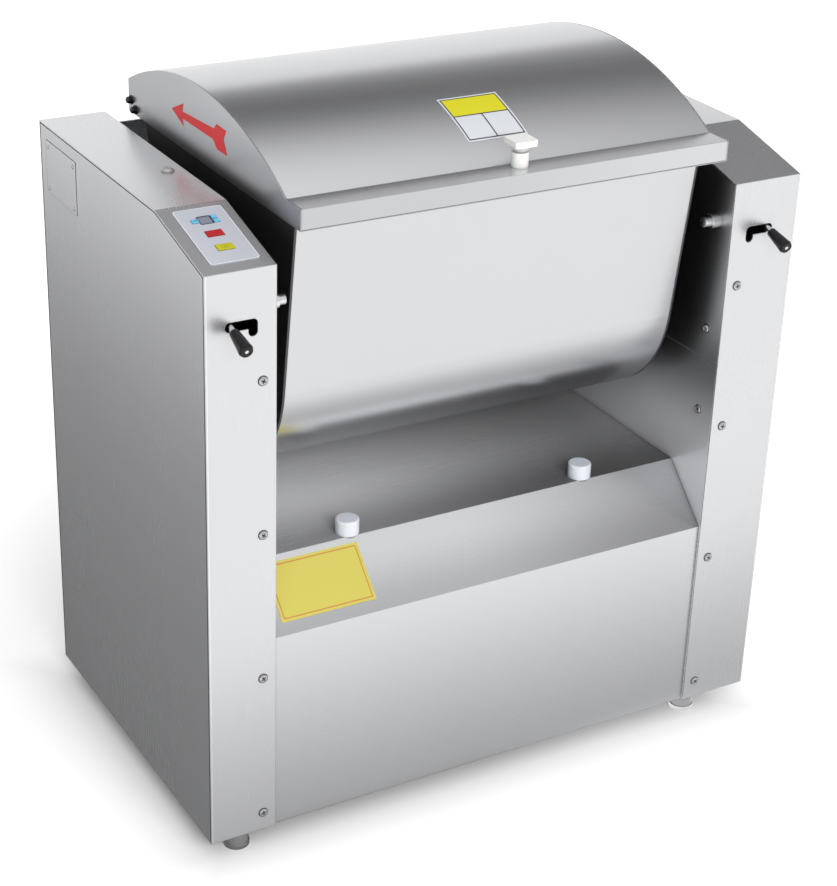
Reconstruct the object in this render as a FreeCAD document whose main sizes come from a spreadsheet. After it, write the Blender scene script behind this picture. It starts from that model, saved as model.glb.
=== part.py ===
"""Horizontal dough mixer with a tipping bowl, as a parametric document in millimetres.

Frame: +Z up, the front faces -Y, and the origin lies on the floor below the middle of
the machine, levers and cable gland included.
"""
import FreeCAD, Part
import math
import os
import re
import Sketcher
from FreeCAD import Placement, Rotation, Vector

doc = FreeCAD.newDocument("dough_mixer")
sheet = doc.addObject("Spreadsheet::Sheet", "Sizes")

SIZES = [
    ("overall_width", 700, "outer face to outer face of the two cabinets"),
    ("left_cabinet_width", 75, "drive cabinet"),
    ("right_cabinet_width", 86, "electrical cabinet"),
    ("cabinet_front", -202, "front faces of the cabinets"),
    ("cabinet_depth", 420.5, "front to back"),
    ("cabinet_bottom", 28, "floor to the lower edge of the panels"),
    ("front_top", 671.4, "top of the upright front face"),
    ("cabinet_top", 699.2, "flat top of the cabinets"),
    ("facet_depth", 112.3, "depth of the sloping control facet"),
    ("cover_sheet", 1.5, "sheet of the wrapped covers"),
    ("frame_sheet", 3, "sheet of the side frames"),
    ("frame_flange", 19, "folded edge of the side frames"),
    ("seat_gap", 0.3, "gap between separate sheets"),
    ("fit_gap", 0.05, "radial gap of a running fit"),
    ("chassis_height", 25, "channel height"),
    ("chassis_width", 40, "channel width, front and rear"),
    ("rail_width", 25, "channel width, side rails"),
    ("chassis_sheet", 2, "channel sheet"),
    ("chassis_inset", 6, "front face to chassis"),
    ("chassis_side_inset", 5, "outer faces to chassis"),
    ("left_foot_inset", 41, "left outer face to the feet"),
    ("right_foot_inset", 68, "right outer face to the feet"),
    ("foot_radius", 14, "tread of a foot"),
    ("foot_tread_height", 5, "tread of a foot"),
    ("foot_waist_radius", 11, "foot above its tread"),
    ("foot_stud_reach", 8, "stud above the channel"),
    ("foot_stud_radius", 5, "threaded stud"),
    ("panel_setback", 3.6, "base panel behind the cabinet fronts"),
    ("panel_top", 259.7, "top of the upright base panel"),
    ("slope_depth", 61.7, "depth of the sloping sill"),
    ("tray_height", 319.5, "tray below the bowl"),
    ("base_sheet_thickness", 2, "sheet of the base"),
    ("axis_y", -12, "agitator and tipping axis"),
    ("axis_z", 527, "agitator and tipping axis"),
    ("bowl_end_gap", 32, "side wall to bowl end"),
    ("bowl_radius", 140.4, "outside of the rounded bottom"),
    ("bowl_sheet", 2, "sheet of the trough"),
    ("end_plate_thickness", 2.5, "bowl end plates"),
    ("front_lean", 7.3, "front wall, degrees off upright"),
    ("rear_lean", 16, "rear wall, degrees off upright"),
    ("rim_height", 722, "rim of the bowl above the floor"),
    ("rim_lip", 14, "lip turned outwards along the rim"),
    ("trunnion_radius", 28, "hollow trunnion"),
    ("trunnion_weld", 4, "weld fillet round a trunnion"),
    ("shaft_radius", 19, "agitator shaft"),
    ("trunnion_flange_radius", 44, "flange on the end plate"),
    ("trunnion_flange_thickness", 6, "flange on the end plate"),
    ("wall_hole_gap", 2, "trunnion to its hole in the side wall"),
    ("motor_hole_gap", 8, "motor shaft to its hole in the side wall"),
    ("nose_hole_gap", 4, "motor nose to its hole in the shelf"),
    ("housing_radius", 48, "bearing housing on the side frame"),
    ("housing_depth", 18, "bearing housing on the side frame"),
    ("housing_neck_radius", 40, "bearing housing past its flange"),
    ("housing_flange", 8, "flange of the bearing housings"),
    ("blade_radius", 132, "sweep of the agitator"),
    ("blade_height", 22, "radial height of a blade"),
    ("blade_thickness", 10, "thickness of a blade"),
    ("blade_twist", 120, "turn of a blade from end to end, degrees"),
    ("blade_end_gap", 8, "blade to end plate"),
    ("arm_radius", 10, "agitator arms"),
    ("hub_radius", 30, "agitator hub"),
    ("hub_length", 32, "agitator hub"),
    ("lid_end_overhang", 10.5, "lid beyond each bowl end"),
    ("lid_front_overhang", 29.3, "front skirt beyond the rim"),
    ("lid_rear_overhang", 12, "rear skirt beyond the rim"),
    ("lid_skirt", 22.1, "height of the front skirt"),
    ("lid_seat", 2.1, "flat strip above the rim"),
    ("lid_flange_depth", 31.5, "flat strip along the front"),
    ("lid_rise", 13.9, "rear end of the arc above the strip"),
    ("lid_rear_gap", 4, "rear skirt above the rim"),
    ("lid_arc_radius", 392, "arc of the lid"),
    ("lid_sheet", 1.5, "sheet of the lid"),
    ("hinge_radius", 5, "hinge knuckle"),
    ("hinge_pin_radius", 2.5, "hinge pin"),
    ("hinge_spacing", 300, "between the two hinges"),
    ("hinge_segment", 24, "length of one knuckle"),
    ("hinge_rise", 6, "hinge axis above the rim"),
    ("hinge_setback", 10.5, "hinge axis behind the rear skirt"),
    ("hinge_leaf", 4, "leaf from the lid to its knuckle"),
    ("hinge_back", 9, "leaf against the rear skirt"),
    ("hinge_bracket_sheet", 3, "bracket below the bowl's lip"),
    ("knob_stem_radius", 8.7, "lid knob"),
    ("knob_stem_height", 15.5, "lid knob"),
    ("knob_neck_radius", 6, "lid knob, below its flare"),
    ("knob_flare_height", 7, "lid knob, neck to head"),
    ("knob_head_width", 26, "square head of the lid knob"),
    ("knob_head_height", 6.5, "square head of the lid knob"),
    ("knob_corner_radius", 3, "upright corners of the knob's head"),
    ("knob_setback", 21.8, "front of the lid to the middle of the knob"),
    ("latch_y", -177, "latch pin axis"),
    ("latch_z", 624, "latch pin axis"),
    ("latch_pin_radius", 5.5, "latch pin"),
    ("latch_travel", 22, "latch pin, drawn back to locked"),
    ("latch_tip", 20, "tip of the drawn pin inside the wall"),
    ("collar_radius", 8, "latch collar"),
    ("collar_reach", 12, "latch collar inside the wall"),
    ("collar_depth", 15, "latch collar outside the wall"),
    ("lever_offset", 48, "lever to wall, pin drawn back"),
    ("lever_radius", 3.25, "lever rod"),
    ("latch_tail", 8, "pin beyond the lever"),
    ("lever_slope", 18, "lever below the horizontal, degrees"),
    ("lever_length", 34, "pin axis to the grip"),
    ("grip_length", 29, "black grip"),
    ("grip_neck_radius", 5, "black grip, near end"),
    ("grip_end_radius", 7.5, "black grip, widest"),
    ("grip_face_radius", 6.3, "black grip, flat far end"),
    ("grip_shoulder", 26.5, "near end of a grip to its widest part"),
    ("grip_socket", 17.4, "lever rod inside its grip"),
    ("slot_height", 10, "slot in the front face"),
    ("slot_drop", 8, "notch below the slot"),
    ("slot_inner_gap", 3, "locked lever to the inner end of its slot"),
    ("slot_outer_gap", 0.5, "drawn lever to the outer end of its slot"),
    ("front_screw_inset", 14.6, "screw row to the wall face"),
    ("front_screw_low", 49.6, "lowest front screw"),
    ("front_screw_pitch", 168.3, "front screws"),
    ("wall_screw_inset", 26.4, "cabinet front to the screws of the right wall"),
    ("wall_screw_low", 398.7, "lower screw of the right wall"),
    ("wall_screw_pitch", 98.3, "screws of the right wall"),
    ("screw_radius", 2.5, "M5 screw"),
    ("screw_length", 5.6, "cover screw below its head"),
    ("wall_screw_length", 10, "screw of the right wall below its head"),
    ("screw_clearance", 0.2, "radial gap of a screw in its hole"),
    ("screw_head_radius", 4.8, "pan head"),
    ("screw_head_height", 2.6, "pan head"),
    ("overlay_width", 51.5, "control overlay"),
    ("overlay_length", 92.5, "control overlay"),
    ("overlay_start", 14.5, "lower edge of the facet to the overlay"),
    ("overlay_inset", 39.3, "left outer face to the middle of the overlay"),
    ("overlay_thickness", 0.8, "control overlay"),
    ("overlay_corner_radius", 3.5, "control overlay"),
    ("key_travel", 0.5, "key press"),
    ("key_lift", 0.2, "underside of a pressed key above the facet"),
    ("key_stem_radius", 1.5, "stem through the facet"),
    ("key_stem_length", 5.7, "stem through the facet"),
    ("key_gap", 0.3, "key to its window"),
    ("board_depth", 7, "circuit board below the cover sheet"),
    ("board_width", 34, "circuit board"),
    ("board_length", 84, "circuit board"),
    ("board_thickness", 1.6, "circuit board"),
    ("board_shift", 4, "circuit board towards the outer side of the cabinet"),
    ("spacer_radius", 2.5, "spacers of the circuit board"),
    ("spacer_inset", 4, "edges of the circuit board to its spacers"),
    ("plug_radius", 7, "blind plug"),
    ("plug_height", 3.4, "blind plug"),
    ("plug_edge", 1.4, "blind plug, upright edge"),
    ("plug_crown_radius", 4.2, "blind plug, flat of its crown"),
    ("plug_stem_radius", 5, "blind plug"),
    ("plug_inset", 17.7, "side wall to the blind plug"),
    ("plug_setback", 212.2, "cabinet front to the blind plug"),
    ("plate_length", 83, "blank plate on the left side"),
    ("plate_height", 58, "blank plate on the left side"),
    ("plate_thickness", 1, "blank plate on the left side"),
    ("plate_setback", 318, "cabinet front to the blank plate"),
    ("plate_bottom", 625, "lower edge of the blank plate"),
    ("rear_panel_sheet", 2, "rear panel"),
    ("rear_panel_drop", 13.2, "cabinet top to the upper edge of the rear panel"),
    ("louvre_length", 110, "vents of the rear panel"),
    ("louvre_height", 5, "vents of the rear panel"),
    ("louvre_pitch", 18, "vents of the rear panel"),
    ("louvre_spread", 90, "middle of the bay to the middle of a vent"),
    ("louvre_low", 150, "lowest vents"),
    ("rest_radius", 13, "nylon bowl rest"),
    ("rest_height", 17, "nylon bowl rest"),
    ("rest_spacing", 296.3, "between the bowl rests"),
    ("rest_setback", 10.5, "bowl rests behind the bend of the tray"),
    ("rest_edge_radius", 2, "rounded top edge of a bowl rest"),
    ("rest_bore_depth", 11, "blind bore of a bowl rest for its screw"),
    ("gear_module", 3.5, "drive gears"),
    ("bull_teeth", 68, "gear on the agitator shaft"),
    ("pinion_teeth", 17, "gear on the countershaft"),
    ("gear_width", 18, "bull gear"),
    ("gear_backlash", 0.2, "thinning of each tooth on the pitch circle"),
    ("gear_line_angle", 24, "line of centres, degrees behind straight down"),
    ("gear_gap", 2, "bearing housing to the bull gear"),
    ("gear_rim", 14, "pitch circle of the bull gear to its web"),
    ("gear_recess", 5.4, "web of the bull gear below its rim"),
    ("gear_hub_land", 1.5, "hub of the bull gear beyond its teeth"),
    ("shaft_end_land", 6, "agitator shaft beyond its bearings and gear"),
    ("gear_hub_radius", 33, "hub of the bull gear"),
    ("gear_hole_radius", 16, "lightening holes of the bull gear"),
    ("countershaft_radius", 10, "countershaft"),
    ("countershaft_housing_radius", 34, "countershaft bearing"),
    ("countershaft_neck_radius", 24, "countershaft bearing past its flange"),
    ("large_pulley_radius", 100, "pulley on the countershaft"),
    ("motor_pulley_radius", 36, "pulley on the motor"),
    ("pulley_width", 18, "both pulleys"),
    ("pulley_lip", 2, "land beside a pulley's groove"),
    ("pulley_gap", 3, "bull gear to the pulleys"),
    ("pulley_hole_radius", 18, "lightening holes of the large pulley"),
    ("pulley_hole_circle", 55, "shaft to the lightening holes"),
    ("groove_bottom", 7.2, "bottom of a pulley's groove"),
    ("belt_width", 6, "drive belt"),
    ("belt_height", 8, "drive belt"),
    ("motor_y", -30, "motor axis"),
    ("motor_z", 172, "motor axis"),
    ("motor_radius", 66, "motor frame"),
    ("motor_length", 205, "motor frame"),
    ("motor_shaft_radius", 9.5, "motor shaft"),
    ("motor_inset", 12, "side wall to the motor"),
    ("motor_nose_radius", 36, "bearing nose of the motor"),
    ("motor_nose_length", 8, "bearing nose of the motor"),
    ("motor_shaft_depth", 30, "motor shaft inside the side wall"),
    ("cowl_length", 42, "fan cowl of the motor"),
    ("cowl_rim", 3, "fan cowl outside the motor"),
    ("terminal_box_length", 80, "terminal box of the motor"),
    ("terminal_box_width", 70, "terminal box of the motor"),
    ("terminal_box_rise", 22, "terminal box above the motor"),
    ("terminal_box_sink", 16.5, "terminal box into the round of the motor"),
    ("motor_foot_length", 30, "motor foot"),
    ("motor_foot_height", 39.6, "motor foot"),
    ("motor_foot_inset", 22, "motor end to a foot"),
    ("motor_foot_drop", 8, "underside of the feet below the motor"),
    ("shelf_sheet", 4, "motor shelf"),
    ("shelf_margin", 15, "motor shelf beside the motor"),
    ("shelf_length", 255, "motor shelf"),
    ("shelf_flange", 64, "motor shelf against the side frame"),
    ("box_depth", 52, "switchgear box"),
    ("box_width", 150, "switchgear box"),
    ("box_height", 190, "switchgear box"),
    ("box_setback", 120, "cabinet front to the switchgear box"),
    ("box_bottom", 180, "switchgear box"),
    ("box_corner_radius", 4, "switchgear box"),
    ("gland_inset", 59, "right side wall to the cable gland"),
    ("gland_z", 92, "mains cable gland"),
    ("gland_bore_radius", 5, "mains cable gland"),
    ("gland_reach", 19.5, "gland behind the rear panel"),
    ("gland_inside", 10, "gland inside the rear panel"),
    ("gland_wall", 5, "wall of the cable gland"),
    ("gland_nut", 7, "nut of the gland outside its bore"),
    ("gland_nut_width", 7, "nut of the gland"),
]
ALIASES = {alias for alias, size, note in SIZES}

for row, (alias, size, note) in enumerate(SIZES, start=1):
    sheet.set(f"A{row}", alias.replace("_", " "))
    sheet.set(f"B{row}", str(size))
    sheet.set(f"C{row}", note)
    sheet.setAlias(f"B{row}", alias)
doc.recompute()

# Places worked out from the sizes, as formulas over the sheet's names
LEFT_WALL = "(left_cabinet_width - overall_width / 2)"
RIGHT_WALL = "(overall_width / 2 - right_cabinet_width)"
BAY_CENTRE = f"(({LEFT_WALL} + {RIGHT_WALL}) / 2)"
REAR = "(cabinet_front + cabinet_depth)"
FACET_RATIO = "((cabinet_top - front_top) / facet_depth)"
FACET_STRETCH = f"sqrt(1 + {FACET_RATIO} * {FACET_RATIO})"
CHASSIS_BOTTOM = "(cabinet_bottom + 1)"
CHASSIS_TOP = "(cabinet_bottom + 1 + chassis_height)"
COVER_LINING = "(cover_sheet + seat_gap)"
PANEL_FRONT = "(cabinet_front + panel_setback)"
TRAY_BEND = f"({PANEL_FRONT} + slope_depth)"
BOWL_HALF = f"(({RIGHT_WALL} - {LEFT_WALL}) / 2 - bowl_end_gap)"
RIM_RISE = "(rim_height - axis_z)"
FRONT_RIM = f"(-(bowl_radius + {RIM_RISE} * sin(front_lean * 1deg)) / cos(front_lean * 1deg))"
REAR_RIM = f"((bowl_radius + {RIM_RISE} * sin(rear_lean * 1deg)) / cos(rear_lean * 1deg))"
LID_HALF = f"({BOWL_HALF} + lid_end_overhang)"
LID_FRONT = f"(axis_y + {FRONT_RIM} - lid_front_overhang)"
LID_REAR = f"(axis_y + {REAR_RIM} + lid_rear_overhang)"
LID_STRIP = "(rim_height + lid_seat)"
LID_BOTTOM = f"({LID_STRIP} - lid_skirt)"
GEAR_CENTRES = "(gear_module * (bull_teeth + pinion_teeth) / 2)"
COUNTER_Y = f"(axis_y + {GEAR_CENTRES} * sin(gear_line_angle * 1deg))"
COUNTER_Z = f"(axis_z - {GEAR_CENTRES} * cos(gear_line_angle * 1deg))"
HINGE_Y = f"({LID_REAR} + hinge_setback)"
HINGE_Z = "(rim_height + hinge_rise)"
OVERLAY_MIDDLE = "(overlay_inset - overall_width / 2)"
GLAND_X = f"({RIGHT_WALL} - gland_inset)"
SLOT_Z = "(latch_z + (cabinet_front - latch_y) * tan(lever_slope * 1deg))"
SIDES = {"left": -1, "right": 1}
WALLS = {"left": LEFT_WALL, "right": RIGHT_WALL}

parts = []


def formula(text):
    """The same formula with each size name pointing at the sheet."""
    return re.sub(r"[A-Za-z_]\w*", lambda word: sheet_name(word.group()), str(text))


def sheet_name(word):
    return f"Sizes.{word}" if word in ALIASES else word


def number(text):
    """The present value of a formula."""
    found = sheet.evalExpression(formula(text))
    return float(getattr(found, "Value", found))


def bind(item, **formulas):
    for name, text in formulas.items():
        item.setExpression(name, formula(text))
    return item


def place(item, at, turn=None):
    """Put an object at three bound coordinates, with a fixed turn."""
    item.Placement = Placement(Vector(*[number(text) for text in at]), turn or Rotation())
    for letter, text in zip("xyz", at):
        item.setExpression(f"Placement.Base.{letter}", formula(text))
    return item


def keep(name, item):
    """Name a finished sub-part."""
    item.Label = name
    parts.append(item)
    return item


# Reach of the tool that cuts a hole through one sheet
DRILL_LENGTH = "20"
ALONG = {
    "x": Rotation(Vector(0, 1, 0), 90),
    "y": Rotation(Vector(1, 0, 0), -90),
    "z": Rotation(),
}


def box(size, at, turn=None):
    item = doc.addObject("Part::Box", "Block")
    bind(item, Length=size[0], Width=size[1], Height=size[2])
    return place(item, at, turn)


def rod(radius, length, at, along="x", turn=None):
    item = doc.addObject("Part::Cylinder", "Rod")
    bind(item, Radius=radius, Height=length)
    return place(item, at, turn or ALONG[along])


def drill(radius, at, along="x", turn=None):
    """A rod for a hole through one sheet, reaching as far before a point as behind it."""
    item = rod(radius, DRILL_LENGTH, at, along, turn)
    back = item.Placement.Rotation.multVec(Vector(0, 0, -number(DRILL_LENGTH) / 2))
    for letter, text in zip("xyz", at):
        item.setExpression(f"Placement.Base.{letter}", formula(f"{text} + ({getattr(back, letter)})"))
    return item


def cone(near, far, length, at, turn):
    item = doc.addObject("Part::Cone", "Cone")
    bind(item, Radius1=near, Radius2=far, Height=length)
    return place(item, at, turn)


def join(*pieces):
    if len(pieces) == 1:
        return pieces[0]
    item = doc.addObject("Part::MultiFuse", "Joined")
    item.Shapes = list(pieces)
    item.Refine = True
    return item


def group(*pieces):
    """Separate solids that share one node."""
    item = doc.addObject("Part::Compound", "Group")
    item.Links = list(pieces)
    return item


def cut(base, *tools):
    item = doc.addObject("Part::Cut", "Cut")
    item.Base = base
    item.Tool = join(*tools)
    item.Refine = True
    return item


def soften(item, radius, choose):
    """Round the edges of a finished shape for which choose(edge) is true."""
    doc.recompute()
    edges = [place_in_list for place_in_list, edge in enumerate(item.Shape.Edges, start=1) if choose(edge)]
    rounded = doc.addObject("Part::Fillet", "Rounded")
    rounded.Base = item
    rounded.Edges = [(edge, number(radius), number(radius)) for edge in edges]
    return rounded


def origin_plane(body, role):
    return next(item for item in body.Origin.OriginFeatures if item.Role == role)


def outline_sketch(holder, role, corners):
    """A closed sketch through corners (across, up), each bound to the sheet.

    A corner with a third item is followed by an arc of that radius, and its fourth item
    says which way the arc turns: 1 is anticlockwise and -1 clockwise.
    """
    sketch = holder.newObject("Sketcher::SketchObject", "Outline")
    sketch.AttachmentSupport = [(origin_plane(holder, role), "")]
    sketch.MapMode = "FlatFace"
    spots = [Vector(number(corner[0]), number(corner[1]), 0) for corner in corners]
    ends = []
    for index, corner in enumerate(corners):
        start = spots[index]
        stop = spots[(index + 1) % len(spots)]
        if len(corner) == 2:
            edge = sketch.addGeometry(Part.LineSegment(start, stop), False)
            ends.append((edge, 1, 2))
            continue
        edge = sketch.addGeometry(arc_between(start, stop, number(corner[2]), corner[3]), False)
        ends.append((edge, 1, 2) if corner[3] > 0 else (edge, 2, 1))
        bound_constraint(sketch, ("Radius", edge), corner[2], f"radius_{index}")
    for index, corner in enumerate(corners):
        edge, first, last = ends[index]
        before, before_first, before_last = ends[index - 1]
        sketch.addConstraint(Sketcher.Constraint("Coincident", before, before_last, edge, first))
        bound_constraint(sketch, ("DistanceX", -1, 1, edge, first), corner[0], f"across_{index}")
        bound_constraint(sketch, ("DistanceY", -1, 1, edge, first), corner[1], f"up_{index}")
    return sketch


def bound_constraint(sketch, kind, text, name):
    spot = sketch.addConstraint(Sketcher.Constraint(*kind, number(text)))
    sketch.renameConstraint(spot, name)
    sketch.setExpression(f"Constraints.{name}", formula(text))


def arc_between(start, stop, radius, way):
    """The shorter arc between two points, turning anticlockwise for way 1."""
    chord = stop - start
    rise = math.sqrt(max(radius ** 2 - (chord.Length / 2) ** 2, 0))
    side = Vector(-chord.y, chord.x, 0).normalize() * way
    centre = start + chord / 2 + side * rise
    circle = Part.Circle(centre, Vector(0, 0, 1), radius)
    first, last = (start, stop) if way > 0 else (stop, start)
    return Part.ArcOfCircle(circle, circle.parameter(first), circle.parameter(last))


def plate(corners, thickness, at, role="YZ_Plane"):
    """A body padded from an outline; on the YZ plane it grows towards +X."""
    body = doc.addObject("PartDesign::Body", "Plate")
    pad = body.newObject("PartDesign::Pad", "Pad")
    pad.Profile = outline_sketch(body, role, corners)
    bind(pad, Length=thickness)
    return place(body, at)


def turned(corners, at, turn=None):
    """A body turned from an outline of (radius, height) about its own Z axis."""
    body = doc.addObject("PartDesign::Body", "Turned")
    spin = body.newObject("PartDesign::Revolution", "Revolution")
    spin.Profile = outline_sketch(body, "XZ_Plane", corners)
    spin.ReferenceAxis = (spin.Profile[0], ["V_Axis"])
    spin.Angle = 360
    return place(body, at, turn)


def facing(shape, *directions):
    """Names of the flat faces of a shape that look along any of the directions."""
    names = []
    for spot, face in enumerate(shape.Faces, start=1):
        if isinstance(face.Surface, Part.Plane):
            normal = face.normalAt(0, 0)
            if any(normal.dot(direction) > 0.99 for direction in directions):
                names.append(f"Face{spot}")
    return names


def hollow(body, thickness, *open_towards):
    """Turn a padded body into a sheet-metal shell that is open on some sides."""
    doc.recompute()
    blank = body.Tip
    shell = body.newObject("PartDesign::Thickness", "Shell")
    shell.Base = (blank, facing(blank.Shape, *open_towards))
    shell.Join = "Intersection"
    shell.Reversed = True
    bind(shell, Value=thickness)
    body.Tip = shell
    return body


UP = Vector(0, 0, 1)
DOWN = Vector(0, 0, -1)
BACKWARD = Vector(0, 1, 0)
OUTWARD = {"left": Vector(-1, 0, 0), "right": Vector(1, 0, 0)}


def cabinet_outline(inset, bottom):
    """Side view of a cabinet, drawn in by an inset, from a given bottom height."""
    return [
        (f"cabinet_front + {inset}", bottom),
        (f"cabinet_front + {inset}", f"front_top + {inset} * ({FACET_RATIO} - {FACET_STRETCH})"),
        (
            f"cabinet_front + facet_depth + {inset} * ({FACET_STRETCH} - 1) / {FACET_RATIO}",
            f"cabinet_top - {inset}",
        ),
        (f"{REAR} - {inset}", f"cabinet_top - {inset}"),
        (f"{REAR} - {inset}", bottom),
    ]


def on_facet(along, above, across):
    """Place and turn of something on the left control facet."""
    tilt = Rotation(Vector(1, 0, 0), math.degrees(math.atan(number(FACET_RATIO))))
    at = (
        across,
        f"cabinet_front + ({along} - {above} * {FACET_RATIO}) / {FACET_STRETCH}",
        f"front_top + ({along} * {FACET_RATIO} + {above}) / {FACET_STRETCH}",
    )
    return at, tilt


def front_screw_places(side):
    """The row of screws along the inner edge of a cabinet's front face."""
    across = f"{WALLS[side]} + {SIDES[side]} * front_screw_inset"
    return [(across, f"front_screw_low + {index} * front_screw_pitch") for index in range(4)]


# Key name, centre across the overlay, centre along it, width and length
KEYS = [
    ("key_mode", "-10.4", "71.2", "7", "6.2"),
    ("key_up", "10.8", "74.9", "5.6", "5.4"),
    ("key_down", "10.8", "68", "5.6", "5.4"),
    ("key_stop", "0", "48.1", "17.2", "9.6"),
    ("key_start", "0", "24.5", "17.2", "9.6"),
]
DISPLAY = ("0.4", "71.5", "12.4", "11.8")


def build_chassis():
    """Welded channel frame that carries the side frames and stands on the feet."""
    reach = "(overall_width - 2 * chassis_side_inset)"
    start_x = "(chassis_side_inset - overall_width / 2)"
    front_y = "(cabinet_front + chassis_inset)"
    rear_y = f"({REAR} - chassis_inset - chassis_width)"
    rail_y = f"({front_y} + chassis_width)"
    rail_length = "(cabinet_depth - 2 * chassis_inset - 2 * chassis_width)"
    web = "chassis_sheet"
    webs = []
    hollows = []
    for y in (front_y, rear_y):
        webs.append(box((reach, "chassis_width", "chassis_height"), (start_x, y, CHASSIS_BOTTOM)))
        hollows.append(box(
            (f"{reach} + 2", f"chassis_width - 2 * {web}", f"chassis_height - {web} + 1"),
            (f"{start_x} - 1", f"{y} + {web}", f"{CHASSIS_BOTTOM} - 1"),
        ))
    rails = [
        start_x,
        f"({LEFT_WALL} - rail_width)",
        RIGHT_WALL,
        f"({start_x} + {reach} - rail_width)",
    ]
    for x in rails:
        webs.append(box(("rail_width", rail_length, "chassis_height"), (x, rail_y, CHASSIS_BOTTOM)))
        hollows.append(box(
            (f"rail_width - 2 * {web}", rail_length, f"chassis_height - {web} + 1"),
            (f"{x} + {web}", rail_y, f"{CHASSIS_BOTTOM} - 1"),
        ))
    for x, y in foot_places().values():
        hollows.append(stud_hole(x, y))
    keep("chassis", cut(join(*webs), *hollows))


def foot_places():
    front = "(cabinet_front + chassis_inset + chassis_width / 2)"
    rear = f"({REAR} - chassis_inset - chassis_width / 2)"
    left = "(left_foot_inset - overall_width / 2)"
    right = "(overall_width / 2 - right_foot_inset)"
    return {
        "front_left": (left, front),
        "front_right": (right, front),
        "rear_left": (left, rear),
        "rear_right": (right, rear),
    }


def stud_hole(x, y):
    """Clearance hole for the stud of a foot, through the sheets above it."""
    return drill("foot_stud_radius + seat_gap", (x, y, CHASSIS_TOP), "z")


def build_feet():
    """Turned feet: a tread, a waist, and a stud through the channel."""
    shoulder = f"({CHASSIS_TOP} - chassis_sheet)"
    for name, (x, y) in foot_places().items():
        profile = [
            ("0", "0"),
            ("foot_radius", "0"),
            ("foot_radius", "foot_tread_height"),
            ("foot_waist_radius", "foot_tread_height"),
            ("foot_waist_radius", shoulder),
            ("foot_stud_radius", shoulder),
            ("foot_stud_radius", f"{CHASSIS_TOP} + foot_stud_reach"),
            ("0", f"{CHASSIS_TOP} + foot_stud_reach"),
        ]
        keep(f"foot_{name}", turned(profile, (x, y, "0")))


def build_side_frames():
    """Folded pans that carry the bearings; the web faces the bowl."""
    for side, sign in SIDES.items():
        wall = WALLS[side]
        start = f"{wall} - frame_flange" if sign < 0 else wall
        pan = plate(cabinet_outline(COVER_LINING, CHASSIS_TOP), "frame_flange", (start, "0", "0"))
        hollow(pan, "frame_sheet", OUTWARD[side])
        tab = box(
            ("frame_flange", "frame_sheet", "chassis_height + frame_sheet"),
            (start, f"cabinet_front + {COVER_LINING}", CHASSIS_BOTTOM))
        tools = [
            drill("trunnion_radius + wall_hole_gap", (wall, "axis_y", "axis_z")),
            drill("collar_radius + fit_gap", (wall, "latch_y", "latch_z")),
        ]
        for x, z in front_screw_places(side):
            tools.append(screw_hole(x, z))
        if side == "left":
            tools.append(drill("motor_shaft_radius + motor_hole_gap", (wall, "motor_y", "motor_z")))
        else:
            for y, z in wall_screw_places():
                tools.append(drill("screw_radius + screw_clearance", (wall, y, z)))
            tools += [stud_hole(*foot_places()[name]) for name in ("front_right", "rear_right")]
        keep(f"{side}_side_frame", cut(join(pan, tab), *tools))


def screw_hole(x, z):
    """Clearance hole in a cabinet's front for one cover screw."""
    return drill("screw_radius + screw_clearance", (x, "cabinet_front", z), "y")


def wall_screw_places():
    return [
        ("(cabinet_front + wall_screw_inset)", f"(wall_screw_low + {index} * wall_screw_pitch)")
        for index in range(2)
    ]


def build_covers():
    """Wrapped covers: front, facet, top, rear and outer side in one sheet."""
    for side, sign in SIDES.items():
        wall = WALLS[side]
        start = "-overall_width / 2" if sign < 0 else wall
        wrap = plate(
            cabinet_outline("0", "cabinet_bottom"), f"{side}_cabinet_width", (start, "0", "0"))
        hollow(wrap, "cover_sheet", DOWN, OUTWARD["right" if sign < 0 else "left"])
        tools = slot_tools(side)
        for x, z in front_screw_places(side):
            tools.append(screw_hole(x, z))
        if side == "left":
            tools += key_wells()
            tools.append(drill("plug_stem_radius + screw_clearance", plug_place(), "z"))
        keep(f"{side}_cover", cut(wrap, *tools))


def slot_tools(side):
    """Rounded slot for the lever, with a notch at its inner end."""
    sign = SIDES[side]
    middle = "slot_height / 2"
    locked = "(lever_offset - latch_travel - lever_radius - slot_inner_gap)"
    inner = f"({WALLS[side]} + {sign} * {locked})"
    inner_hub = f"({inner} + {sign} * {middle})"
    drawn = f"(lever_offset - lever_radius - slot_outer_gap + {middle})"
    outer_hub = f"({WALLS[side]} + {sign} * {drawn})"
    y = f"(cabinet_front - {DRILL_LENGTH} / 2)"
    low = inner_hub if sign > 0 else outer_hub
    span = f"({outer_hub} - {inner_hub}) * {sign}"
    drop = f"({SLOT_Z} - slot_drop)"
    return [
        drill(middle, (inner_hub, "cabinet_front", SLOT_Z), "y"),
        drill(middle, (outer_hub, "cabinet_front", SLOT_Z), "y"),
        box((span, DRILL_LENGTH, "slot_height"), (low, y, f"{SLOT_Z} - {middle}")),
        drill(middle, (inner_hub, "cabinet_front", drop), "y"),
        box(("slot_height", DRILL_LENGTH, "slot_drop"), (f"{inner_hub} - {middle}", y, drop)),
    ]


def key_wells():
    """Round wells through the facet for the key stems."""
    wells = []
    for name, across, along, width, length in KEYS:
        at, tilt = on_facet(f"(overlay_start + {along})", "0", f"{OVERLAY_MIDDLE} + ({across})")
        wells.append(drill("key_stem_radius + 2 * key_gap", at, turn=tilt))
    return wells


def plug_place():
    """Blind plug in the flat top of the drive cabinet."""
    return (f"{LEFT_WALL} - plug_inset", "cabinet_front + plug_setback", "cabinet_top")


LOUVRE_ROWS = 6


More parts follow.
